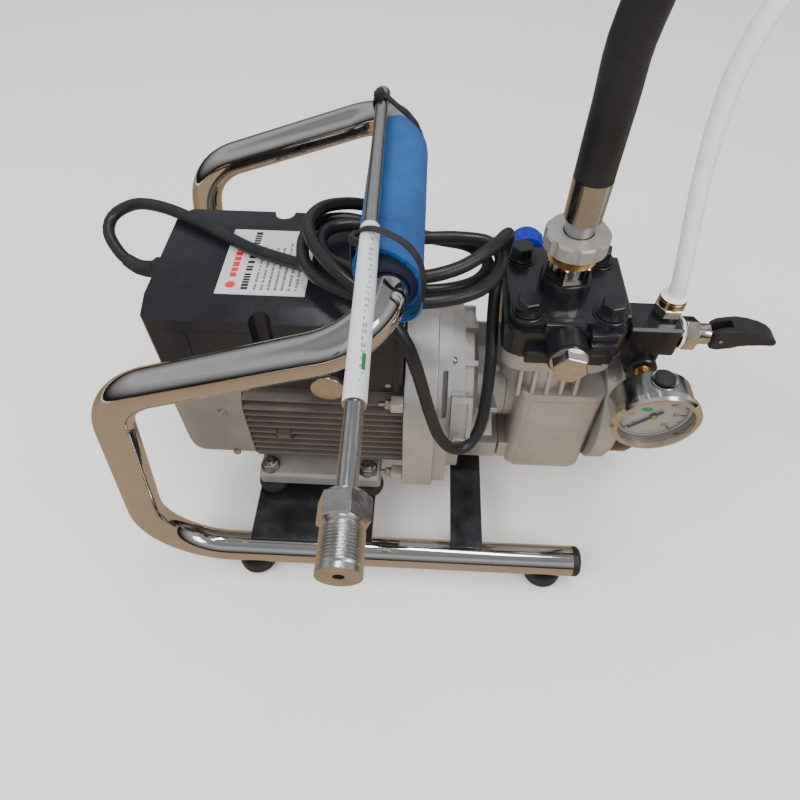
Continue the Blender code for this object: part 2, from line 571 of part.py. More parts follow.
# suction side: valve body, castle nut, spigot with the hose crimped on
vb = turned("suction_valve_body", [(0.0, -0.0250), (0.0117, -0.0250), (0.0117, 0.0), (0.0160, 0.0), (0.0160, 0.0170), (0.0, 0.0170)],
            (PUMP_X, 0, 0.2628), (0, 0, 1), STEEL, 32)
boolean(vb, [hexagon("u", 0.0330, (PUMP_X, 0, 0.2628), (0, 0, 1), 0.0155, STEEL, rot=0.2),
             cyl("u", 0.0180, (PUMP_X, 0, 0.2700), (0, 0, 1), 0.0200, STEEL, 32)], "UNION")
boolean(vb, [cyl("c", 0.0070, (PUMP_X, 0, 0.2300), (0, 0, 1), 0.0700, STEEL, 24)])
nut = turned("suction_castle_nut", [(0.0183, 0.0), (0.0230, 0.0), (0.0245, 0.0012), (0.0245, 0.0118), (0.0232, 0.0135), (0.0116, 0.0135), (0.0116, 0.0072), (0.0183, 0.0072)],
             (PUMP_X, 0, 0.2885), (0, 0, 1), ALU, 48, origin=(PUMP_X, 0, 0.2885), closed=True)
boolean(nut, [block("c", (0.0225, -0.0035, 0.0), (0.03, 0.0035, 0.03), STEEL) for _ in range(0)] +
        [cyl("c", 0.0042, (PUMP_X + 0.0268 * math.cos(math.radians(20 + 40 * k)), 0.0268 * math.sin(math.radians(20 + 40 * k)), 0.2700),
             (0, 0, 1), 0.0400, STEEL, 20) for k in range(9)])
FERR_Z0, FERR_Z1 = 0.3116, 0.3460
turned("suction_hose_end",
       [(0.0070, 0.2904), (0.0150, 0.2904), (0.0150, 0.2953), (0.0110, 0.2953), (0.0110, FERR_Z0 + 0.001), (0.0125, FERR_Z0 + 0.001), (0.0138, FERR_Z0 + 0.0025),
        (0.0141, FERR_Z1), (0.0070, FERR_Z1)],
       (PUMP_X, 0, 0.0), (0, 0, 1), STEEL, 36, closed=True)

# outlet, pressure knob and front plug
op = turned("outlet_nipple", [(0.0, 0.0), (0.0057, 0.0), (0.0057, 0.0160), (0.0075, 0.0160), (0.0075, 0.0228), (0.0062, 0.0230), (0.0062, 0.0340), (0.0, 0.0340)],
            (0.2465, 0.0370, 0.2360), (0, 1, 0), STEEL, 28)
boolean(op, [hexagon("u", 0.0170, (0.2465, 0.0530, 0.2360), (0, 1, 0), 0.0070, STEEL)], "UNION")
boolean(op, [cyl("c", 0.0030, (0.2465, 0.0450, 0.2360), (0, 1, 0), 0.0500, STEEL, 16)])
PK = (0.1830, 0.0505, 0.2400)
pk = turned("pressure_knob", [(0.0, -0.0150), (0.0057, -0.0150), (0.0057, 0.0), (0.0100, 0.0), (0.0140, 0.0020), (0.0150, 0.0060), (0.0150, 0.0160), (0.0130, 0.0200), (0.0, 0.0210)],
            PK, (0, 1, 0), BLUEPL, 36, origin=PK)
boolean(pk, [cyl("c", 0.0016, (PK[0] + 0.0158 * math.cos(2 * math.pi * k / 8), PK[1] + 0.003, PK[2] + 0.0158 * math.sin(2 * math.pi * k / 8)),
                 (0, 1, 0), 0.030, STEEL, 10) for k in range(8)])
fp = turned("front_hex_plug", [(0.0, 0.0), (0.0145, 0.0), (0.0145, 0.0022), (0.0117, 0.0022), (0.0117, 0.0200), (0.0, 0.0200)],
            (PUMP_X - 0.0004, -0.0660 - GAP - 0.0022, 0.2338), (0, 1, 0), CHROME, 32)
boolean(fp, [hexagon("u", 0.0245, (PUMP_X - 0.0004, -0.0780, 0.2338), (0, 1, 0), 0.0100, CHROME, rot=0.25)], "UNION")

# ----------------------------------------------------------- side valve set
vbk = block("valve_block", (0.2583, -0.0345, 0.2070), (0.3010, -0.0020, 0.2370), BLACK, 0.002, 1)
down = block("u", (0.2680, -0.0340, 0.1830), (0.2900, -0.0060, 0.2100), BLACK, 0.0015, 1)
rboss = cyl("u", 0.0110, (0.2900, -0.0140, 0.2300), (0, 0, 1), 0.0090, BLACK, 28)
boolean(vbk, [down, rboss], "UNION")
boolean(vbk, [cyl("c", 0.0090, (0.2850, VALVE_Y + 0.006, VALVE_Z + 0.002), (1, 0, 0), 0.0300, STEEL, 28),
              cyl("c", 0.0053, (0.2900, -0.0140, 0.2200), (0, 0, 1), 0.0300, STEEL, 20),
              cyl("c", 0.0053, (GAUGE_X, -0.0400, GAUGE_Z), (0, 1, 0), 0.0300, STEEL, 20)])
VY, VZ = VALVE_Y + 0.006, VALVE_Z + 0.002
vh = turned("drain_valve_body",
            [(0.0035, 0.0), (0.0087, 0.0), (0.0087, 0.0155), (0.0125, 0.0155), (0.0125, 0.0180), (0.0105, 0.0180), (0.0105, 0.0300), (0.0085, 0.0330), (0.0085, 0.0400), (0.0035, 0.0400)],
            (0.2860, VY, VZ), (1, 0, 0), STEEL, 32, closed=True)
hx = hexagon("u", 0.0240, (0.3045, VY, VZ), (1, 0, 0), 0.0110, STEEL, rot=0.1)
boolean(hx, [cyl("c", 0.0050, (0.2900, VY, VZ), (1, 0, 0), 0.0500, STEEL, 20)])
boolean(vh, [hx], "UNION")
PIN = (0.3345, VY, VZ)
# stem: rod with an eye that the lever pin goes through
stem = turned("drain_valve_stem", [(0.0, 0.0), (0.0030, 0.0), (0.0032, 0.0004), (0.0032, 0.0537), (0.0, 0.0537)],
              (0.2853, VY, VZ), (1, 0, 0), STEEL, 24, origin=(0.2853, VY, VZ))
boolean(stem, [cyl("c", 0.0017, (PIN[0], VY - 0.01, VZ), (0, 1, 0), 0.02, STEEL, 16)])
lev = prism("drain_lever",
            [(0.3275, VZ - 0.0070), (0.3295, VZ - 0.0092), (0.3350, VZ - 0.0100), (0.3400, VZ - 0.0088), (0.3440, VZ - 0.0058), (0.3500, VZ - 0.0030), (0.3580, VZ - 0.0018),
             (0.3680, VZ - 0.0022), (0.3760, VZ - 0.0034), (0.3785, VZ - 0.0022), (0.3788, VZ + 0.0006), (0.3740, VZ + 0.0040), (0.3660, VZ + 0.0078), (0.3560, VZ + 0.0108),
             (0.3460, VZ + 0.0122), (0.3380, VZ + 0.0120), (0.3310, VZ + 0.0100), (0.3275, VZ + 0.0065)],
            VY - 0.0090, VY + 0.0090, "Y", BLACK, 0.0012, origin=PIN)
boolean(lev, [block("c", (0.3200, VY - 0.0040, VZ - 0.02), (0.3420, VY + 0.0040, VZ + 0.02), STEEL)])
boolean(lev, [cyl("u", 0.0014, (PIN[0], VY - 0.0093, VZ), (0, 1, 0), 0.0186, STEEL, 20)], "UNION")

rf = turned("return_fitting", [(0.0030, -0.0060), (0.0050, -0.0060), (0.0050, 0.0), (0.0104, 0.0), (0.0104, 0.0160), (0.0066, 0.0178), (0.0030, 0.0178)],
            (0.2900, -0.0140, 0.2393), (0, 0, 1), STEEL, 28, closed=True)
hx = hexagon("u", 0.0215, (0.2900, -0.0140, 0.2393), (0, 0, 1), 0.0085, STEEL)
boolean(hx, [cyl("c", 0.0060, (0.2900, -0.0140, 0.2300), (0, 0, 1), 0.04, STEEL, 20)])
boolean(rf, [hx], "UNION")

# ----------------------------------------------------------- pressure gauge
GY = -0.0960                       # front plane of the gauge
G = (GAUGE_X, GY, GAUGE_Z)
# case: cup with the dial plate inside and the threaded stem on its back
case = turned("gauge_case",
              [(0.0, 0.0640), (0.0050, 0.0640), (0.0052, 0.0300), (0.0300, 0.0300), (0.0315, 0.0285), (0.0315, 0.0040), (0.0300, 0.0040),
               (0.0300, 0.0115), (0.0022, 0.0115), (0.0022, 0.0200), (0.0, 0.0200)],
              G, (0, 1, 0), CHROME, 48)
boolean(case, [cyl("c", 0.0050, (GAUGE_X, GY + 0.0200, GAUGE_Z + 0.0250), (0, 0, 1), 0.0300, STEEL, 20)])
turned("gauge_bezel", [(0.0290, 0.0), (0.0320, 0.0), (0.0340, 0.0020), (0.0340, 0.0070), (0.0318, 0.0075), (0.0318, 0.0036), (0.0290, 0.0036)],
       G, (0, 1, 0), CHROME, 56, closed=True)
turned("gauge_lens", [(0.0, 0.0), (0.0296, 0.0), (0.0296, 0.0020), (0.0, 0.0020)], (GAUGE_X, GY + 0.0040, GAUGE_Z), (0, 1, 0), GLASS, 40)
ND = (GAUGE_X, GY + 0.0090, GAUGE_Z)
needle = turned("gauge_needle", [(0.0, -0.0012), (0.0030, -0.0012), (0.0030, 0.0008), (0.0012, 0.0008), (0.0012, 0.0070), (0.0, 0.0070)],
                ND, (0, 1, 0), BLACK, 20, origin=ND)
hand = prism("u", [(-0.0012, 0.0080), (0.0012, 0.0080), (0.0009, -0.0225), (-0.0009, -0.0225)], -0.0005, 0.0005, "Z", BLACK)
hand.data.transform(Matrix.Translation(Vector(ND)) @ Matrix.Rotation(math.radians(45), 4, 'Y') @ Matrix.Rotation(math.radians(90), 4, 'X'))
boolean(needle, [hand], "UNION")
gs = turned("gauge_fill_plug", [(0.0, 0.0), (0.0047, 0.0), (0.0047, 0.0030), (0.0078, 0.0036), (0.0078, 0.0058), (0.0060, 0.0075), (0.0, 0.0080)],
            (GAUGE_X, GY + 0.0200, GAUGE_Z + 0.0285), (0, 0, 1), RUBBER, 28)

# ------------------------------------------------------------- control box


def box_outline(inset):
    """Plan of the box, back left corner cut off, as (x, y)."""
    x0, x1, y0, y1 = BOX_X0 + inset, BOX_X1 - inset, BOX_Y0 + inset, BOX_Y1 - inset
    c = 0.010
    return [(x0 + 0.003, y0), (x1 - 0.003, y0), (x1, y0 + 0.003), (x1, y1 - 0.003), (x1 - 0.003, y1),
            (x0 + c, y1), (x0, y1 - c), (x0, y0 + 0.003)]


WELL_X = -0.0265


def wells(r, z0, z1):
    return [cyl("c", r, (WELL_X, BOX_Y0 + 0.0010, z0), (0, 0, 1), z1 - z0, STEEL, 28),
            cyl("c", r, (WELL_X, BOX_Y1 - 0.0010, z0), (0, 0, 1), z1 - z0, STEEL, 28)]


base = prism("control_box_base", box_outline(0.0), BOX_Z0, BOX_ZS - GAP, "Z", PLASTIC)
inner = prism("c", box_outline(0.0025), BOX_Z0 + 0.0025, BOX_ZS + 0.02, "Z", STEEL)
boolean(inner, wells(0.0112, BOX_Z0, BOX_ZS + 0.03))
boolean(base, [inner])
lidp = prism("control_box_lid", box_outline(0.0), BOX_ZS, BOX_Z1, "Z", PLASTIC)
wedge = prism("c", [(BOX_Y0 - 0.01, BOX_Z1 - 0.0120), (BOX_Y0, BOX_Z1 - 0.0075), (BOX_Y0 + 0.0200, BOX_Z1), (BOX_Y0 + 0.0200, BOX_Z1 + 0.02), (BOX_Y0 - 0.01, BOX_Z1 + 0.02)],
              BOX_X0 - 0.02, BOX_X1 + 0.02, "X", STEEL)
boolean(lidp, [wedge])
inner = prism("c", box_outline(0.0025), BOX_ZS - 0.01, BOX_Z1 - 0.0105, "Z", STEEL)
boolean(inner, wells(0.0112, BOX_ZS - 0.02, BOX_Z1))
boolean(lidp, [inner])
# screw wells open to the front and to the back
boolean(base, wells(0.0085, BOX_Z0 + 0.036, BOX_Z1))
boolean(lidp, wells(0.0085, BOX_ZS - 0.01, BOX_Z1 + 0.02))
KNOB = (0.0225, BOX_Y0, 0.2030)
GLAND = (BOX_X0, 0.0200, 0.2325)
boolean(base, [cyl("c", 0.0042, (KNOB[0], KNOB[1] - 0.01, KNOB[2]), (0, 1, 0), 0.02, STEEL, 24),
               cyl("c", 0.0085, (GLAND[0] - 0.01, GLAND[1], GLAND[2]), (1, 0, 0), 0.02, STEEL, 28)])
block("rating_label", (-0.0640, -0.0395, BOX_Z1 + GAP), (0.0050, 0.0390, BOX_Z1 + GAP + 0.0005), WHITE)
turned("switch_knob", [(0.0, -0.0195), (0.0110, -0.0195), (0.0136, -0.0188), (0.0136, -0.0180), (0.0150, -0.0165), (0.0150, -0.0030), (0.0160, -GAP), (0.0038, -GAP), (0.0038, 0.0100), (0.0, 0.0100)],
       KNOB, (0, 1, 0), PLASTIC, 40, origin=KNOB)
gl = turned("cable_gland", [(0.0054, -0.0200), (0.0080, -0.0200), (0.0105, -0.0165), (0.0105, -GAP), (0.0082, -GAP), (0.0082, 0.0100), (0.0054, 0.0100)],
            (GLAND[0], GLAND[1], GLAND[2]), (1, 0, 0), PLASTIC, 28, closed=True)

# ------------------------------------------------------------ handle and lance
ring("handle_pad", TUBE_R + GAP, 0.0205, (HANDLE_X, -0.0800, HANDLE_Z), (0, 1, 0), 0.1710, BLUE, 36, ch=0.003)
LA, LB = Vector((0.0560, 0.1080, LANCE_Z)), Vector((0.0640, -0.2632, LANCE_Z))
LD = (LB - LA).normalized()
LL = (LB - LA).length
turned("lance_tube", [(0.0032, 0.0), (0.0062, 0.0), (0.0062, 0.0100), (0.0050, 0.0104), (0.0050, 0.1730), (0.0062, 0.1734), (0.0062, 0.3116), (0.0050, 0.3120), (0.0050, LL), (0.0032, LL)],
       LA, LD, ALU, 24, closed=True)
ln = turned("lance_tip_fitting", [(0.0053, 0.0), (0.0100, 0.0), (0.0100, 0.0140), (0.0090, 0.0150), (0.0090, 0.0330), (0.0100, 0.0335), (0.0100, 0.0360), (0.0025, 0.0360), (0.0025, 0.0100), (0.0053, 0.0100)],
            LA + LD * ((LB - LA).length - 0.0095), LD, STEEL, 32, closed=True)
hx = hexagon("u", 0.0215, LA + LD * ((LB - LA).length - 0.0085), LD, 0.0120, STEEL, rot=0.25)
boolean(hx, [cyl("c", 0.0070, LA + LD * ((LB - LA).length - 0.02), LD, 0.04, STEEL, 20)])
boolean(ln, [hx], "UNION")

# ---------------------------------------------------------- hoses and cable
def loop_points():
    """Mains cable: out of the gland, over the box, a flat hank under the handle,
    one long loop hanging beside the gearbox, then down behind the box."""
    return [
        (BOX_X0 - 0.0206, 0.0200, 0.2325), (-0.1500, 0.0212, 0.2335), (-0.1660, 0.0300, 0.2390), (-0.1790, 0.0460, 0.2480),
        (-0.1790, 0.0620, 0.2540), (-0.1650, 0.0700, 0.2600), (-0.1450, 0.0650, 0.2660), (-0.1150, 0.0510, 0.2690),
        (-0.0750, 0.0270, 0.2686), (-0.0450, 0.0080, 0.2686), (-0.0200, -0.0030, 0.2686), (0.0060, -0.0120, 0.2686),
        (0.0350, -0.0230, 0.2686), (0.0700, -0.0330, 0.2686), (0.1050, -0.0350, 0.2700), (0.1330, -0.0240, 0.2700),
        (0.1440, -0.0020, 0.2700), (0.1300, 0.0180, 0.2705), (0.1020, 0.0240, 0.2720), (0.0600, 0.0340, 0.2740),
        (0.0300, 0.0400, 0.2765), (0.0080, 0.0300, 0.2790), (0.0000, 0.0060, 0.2800), (0.0060, -0.0240, 0.2805),
        (0.0260, -0.0460, 0.2810), (0.0600, -0.0590, 0.2815), (0.1000, -0.0600, 0.2815), (0.1350, -0.0460, 0.2815),
        (0.1520, -0.0180, 0.2820), (0.1450, 0.0060, 0.2830), (0.1200, 0.0110, 0.2835), (0.0800, 0.0100, 0.2830),
        (0.0450, 0.0200, 0.2850), (0.0220, 0.0150, 0.2860), (0.0150, -0.0030, 0.2870), (0.0250, -0.0260, 0.2880),
        (0.0550, -0.0440, 0.2925), (0.0900, -0.0480, 0.2930), (0.1200, -0.0380, 0.2950), (0.1430, -0.0190, 0.2985),
        (0.1560, 0.0010, 0.2960), (0.1565, 0.0095, 0.2770), (0.1535, 0.0040, 0.2520), (0.1525, -0.0140, 0.2280),
        (0.1530, -0.0360, 0.2030), (0.1520, -0.0560, 0.1740), (0.1480, -0.0730, 0.1490), (0.1370, -0.0850, 0.1370),
        (0.1245, -0.0900, 0.1420), (0.1130, -0.0910, 0.1600), (0.1040, -0.0900, 0.1900), (0.0970, -0.0890, 0.2200),
        (0.0900, -0.0880, 0.2480), (0.0800, -0.0820, 0.2700), (0.0620, -0.0700, 0.2860), (0.0330, -0.0480, 0.2960),
        (0.0130, -0.0200, 0.2975), (0.0060, 0.0080, 0.2960), (0.0130, 0.0320, 0.2920), (0.0300, 0.0500, 0.2840),
        (0.0480, 0.0600, 0.2760), (0.0600, 0.0720, 0.2710), (0.0640, 0.0860, 0.2600), (0.0640, 0.0920, 0.2400),
        (0.0640, 0.0930, 0.2200), (0.0640, 0.0930, 0.2003)]


MAINS_R = 0.005
cord("mains_cable", catmull(loop_points(), 0.024), MAINS_R, RUBBER, 2)
plug = turned("mains_plug", [(0.0, 0.0), (0.0060, 0.0), (0.0075, -0.0120), (0.0150, -0.0220), (0.0170, -0.0260), (0.0170, -0.0440), (0.0155, -0.0460), (0.0, -0.0460)],
              (0.0640, 0.0930, 0.2000), (0, 0, 1), RUBBER, 28)
boolean(plug, [cyl("u", 0.0024, (0.0640 + sx * 0.0095, 0.0930, 0.1360), (0, 0, 1), 0.0200, STEEL, 14) for sx in (-1, 1)], "UNION")

HOSE_R = 0.0140
cord("suction_hose", catmull([(PUMP_X, 0, FERR_Z1 + GAP), (PUMP_X, 0, 0.3950), (PUMP_X + 0.0010, 0, 0.4450), (PUMP_X + 0.0200, 0, 0.5150), (0.2950, 0, 0.5750),
                              (0.3800, 0, 0.5750), (0.4560, 0, 0.5220), (0.5020, 0, 0.4300), (0.5300, 0, 0.3200), (0.5550, 0, 0.2100),
                              (0.5900, 0, 0.1050), (0.6500, 0, 0.0350), (0.7100, 0, 0.0160), (0.7600, 0, 0.0150), (0.8000, 0, 0.0150)], 0.045), HOSE_R, RUBBER, 3)
st = turned("suction_strainer", [(0.0, 0.0), (0.0120, 0.0), (0.0150, 0.0020), (0.0150, 0.0500), (0.0135, 0.0520), (0.0, 0.0520)],
            (0.8006, 0, 0.0152), (1, 0, 0), STEEL, 36)
RET_R = 0.0062
cord("return_hose", catmull([(0.2900, -0.0140, 0.2579), (0.2897, -0.0139, 0.2660), (0.2877, -0.0130, 0.2800), (0.2815, -0.0095, 0.3160), (0.2765, -0.0060, 0.3480), (0.2725, -0.0030, 0.3850),
                             (0.2725, 0.0000, 0.4250), (0.2840, 0.0020, 0.4650), (0.3120, 0.0050, 0.5000), (0.3500, 0.0100, 0.5100), (0.3900, 0.0180, 0.4900), (0.4300, 0.0280, 0.4450), (0.4620, 0.0400, 0.3700), (0.4900, 0.0480, 0.2700),
                             (0.5250, 0.0520, 0.1600), (0.5700, 0.0540, 0.0650), (0.6300, 0.0550, 0.0120), (0.7000, 0.0550, 0.0068), (0.7600, 0.0550, 0.0068)], 0.022), RET_R, WHITE, 3)

# shared origin shift
for ob in list(bpy.data.objects):
    ob.location = ob.location + SHIFT
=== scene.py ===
"""Looks of a portable electric airless paint sprayer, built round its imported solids.

Metres, +Z up.  Pieces are drawn in the machine's own layout and moved by SHIFT
at the end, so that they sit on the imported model."""
import bpy
import bmesh
import json
import math
import random
from mathutils import Vector, Matrix, noise


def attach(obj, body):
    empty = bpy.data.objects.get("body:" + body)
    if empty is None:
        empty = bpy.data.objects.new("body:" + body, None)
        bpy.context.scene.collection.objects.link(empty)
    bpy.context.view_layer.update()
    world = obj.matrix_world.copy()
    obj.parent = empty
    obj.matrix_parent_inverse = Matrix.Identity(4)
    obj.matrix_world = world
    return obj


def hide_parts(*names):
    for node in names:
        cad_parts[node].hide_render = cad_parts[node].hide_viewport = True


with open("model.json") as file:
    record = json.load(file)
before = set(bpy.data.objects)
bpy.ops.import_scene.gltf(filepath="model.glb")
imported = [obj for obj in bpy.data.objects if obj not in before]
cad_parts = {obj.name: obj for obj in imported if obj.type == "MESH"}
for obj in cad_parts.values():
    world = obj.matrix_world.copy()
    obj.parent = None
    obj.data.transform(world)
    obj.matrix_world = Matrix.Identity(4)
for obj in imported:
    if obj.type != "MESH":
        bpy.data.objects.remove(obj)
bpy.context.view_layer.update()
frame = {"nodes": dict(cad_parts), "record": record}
CAD_NODES = set(frame["nodes"])
BODY_OF = {}
for _b, _ns in frame["record"]["behaviour"]["bodies"].items():
    for _n in _ns:
        BODY_OF[_n] = _b
random.seed(7)

# ---------------------------------------------------------------- dimensions
SHIFT = Vector((-0.1129, 0.06785, 0.0))   # machine layout frame to the origin
GAP = 0.0003
TUBE_R = 0.014
TUBE_WALL = 0.0018
RAIL_Y = 0.137
RAIL_Z = 0.030
RAIL_END_X = 0.2445
HANDLE_X, HANDLE_Z = 0.0715, 0.321
MOTOR_Z = 0.1295
PUMP_X = 0.2070
PUMP_TOP = 0.2147
HEAD_TOP = 0.2500
BOLT_OFF = 0.0320
VALVE_Y, VALVE_Z = -0.0275, 0.2205
GAUGE_X, GAUGE_Z = 0.2790, 0.1950
BOX_X0, BOX_X1 = -0.1170, 0.0810
BOX_Y0, BOX_Y1 = -0.0620, 0.0660
BOX_Z0, BOX_ZS, BOX_Z1 = 0.1800, 0.2440, 0.2620
LANCE_Z = 0.3460


# ----------------------------------------------------------------- materials
def surface(name, base, metallic=0.0, rough=0.4, var=0.10, vscale=45.0, rvar=0.06, rscale=70.0,
            bumps=(), stretch=None, tint=None, props=None, speck=None):
    """Procedural finish: colour clouding, roughness clouding and fine relief.

    bumps = ((kind, scale, distance), ...), with scale in cycles per metre."""
    m = bpy.data.materials.new(name)
    m.use_nodes = True
    nt = m.node_tree
    b = nt.nodes["Principled BSDF"]
    b.inputs["Metallic"].default_value = metallic
    for k, v in (props or {}).items():
        b.inputs[k].default_value = v
    tc = nt.nodes.new("ShaderNodeTexCoord")
    mp = nt.nodes.new("ShaderNodeMapping")
    nt.links.new(tc.outputs["Object"], mp.inputs["Vector"])
    if stretch:
        mp.inputs["Scale"].default_value = stretch
    n1 = nt.nodes.new("ShaderNodeTexNoise")
    n1.inputs["Scale"].default_value = vscale
    n1.inputs["Detail"].default_value = 5.0
    n1.inputs["Roughness"].default_value = 0.6
    nt.links.new(mp.outputs["Vector"], n1.inputs["Vector"])
    cr = nt.nodes.new("ShaderNodeValToRGB")
    lo = [max(0.0, c * (1 - var)) for c in base]
    hi = [min(1.0, c * (1 + var)) for c in base]
    if tint:
        lo = [l * (1 - tint[3]) + t * tint[3] for l, t in zip(lo, tint[:3])]
    cr.color_ramp.elements[0].position = 0.30
    cr.color_ramp.elements[1].position = 0.70
    cr.color_ramp.elements[0].color = (*lo, 1)
    cr.color_ramp.elements[1].color = (*hi, 1)
    nt.links.new(n1.outputs["Fac"], cr.inputs["Fac"])
    col = cr.outputs["Color"]
    if speck:
        sc, rgb, lim = speck
        n3 = nt.nodes.new("ShaderNodeTexNoise")
        n3.inputs["Scale"].default_value = sc
        n3.inputs["Detail"].default_value = 2.0
        nt.links.new(tc.outputs["Object"], n3.inputs["Vector"])
        r3 = nt.nodes.new("ShaderNodeValToRGB")
        r3.color_ramp.elements[0].position = lim
        r3.color_ramp.elements[1].position = min(1.0, lim + 0.06)
        r3.color_ramp.elements[0].color = (0, 0, 0, 1)
        r3.color_ramp.elements[1].color = (1, 1, 1, 1)
        nt.links.new(n3.outputs["Fac"], r3.inputs["Fac"])
        mx = nt.nodes.new("ShaderNodeMix")
        mx.data_type = "RGBA"
        nt.links.new(r3.outputs["Color"], mx.inputs[0])
        nt.links.new(col, mx.inputs[6])
        mx.inputs[7].default_value = (*rgb, 1)
        col = mx.outputs[2]
    nt.links.new(col, b.inputs["Base Color"])
    n2 = nt.nodes.new("ShaderNodeTexNoise")
    n2.inputs["Scale"].default_value = rscale
    n2.inputs["Detail"].default_value = 4.0
    nt.links.new(mp.outputs["Vector"], n2.inputs["Vector"])
    mr = nt.nodes.new("ShaderNodeMapRange")
    mr.inputs["From Min"].default_value = 0.3
    mr.inputs["From Max"].default_value = 0.7
    mr.inputs["To Min"].default_value = max(0.01, rough - rvar)
    mr.inputs["To Max"].default_value = min(1.0, rough + rvar)
    nt.links.new(n2.outputs["Fac"], mr.inputs["Value"])
    nt.links.new(mr.outputs["Result"], b.inputs["Roughness"])
    last = None
    for kind, scale, dist in bumps:
        if kind == "noise":
            t = nt.nodes.new("ShaderNodeTexNoise")
            t.inputs["Scale"].default_value = scale
            t.inputs["Detail"].default_value = 3.0
            out = t.outputs["Fac"]
        elif kind == "cells":
            t = nt.nodes.new("ShaderNodeTexVoronoi")
            t.inputs["Scale"].default_value = scale
            out = t.outputs["Distance"]
        else:
            t = nt.nodes.new("ShaderNodeTexWave")
            t.bands_direction = kind[-1].upper()
            t.inputs["Scale"].default_value = scale * 2 * math.pi / 20.0
            t.inputs["Distortion"].default_value = 0.4
            out = t.outputs["Fac"]
        nt.links.new((mp if kind != "cells" else tc).outputs["Vector" if kind != "cells" else "Object"], t.inputs["Vector"])
        bp = nt.nodes.new("ShaderNodeBump")
        bp.inputs["Distance"].default_value = dist
        bp.inputs["Strength"].default_value = 1.0
        nt.links.new(out, bp.inputs["Height"])
        if last:
            nt.links.new(last.outputs["Normal"], bp.inputs["Normal"])
        last = bp
    if last:
        nt.links.new(last.outputs["Normal"], b.inputs["Normal"])
    return m


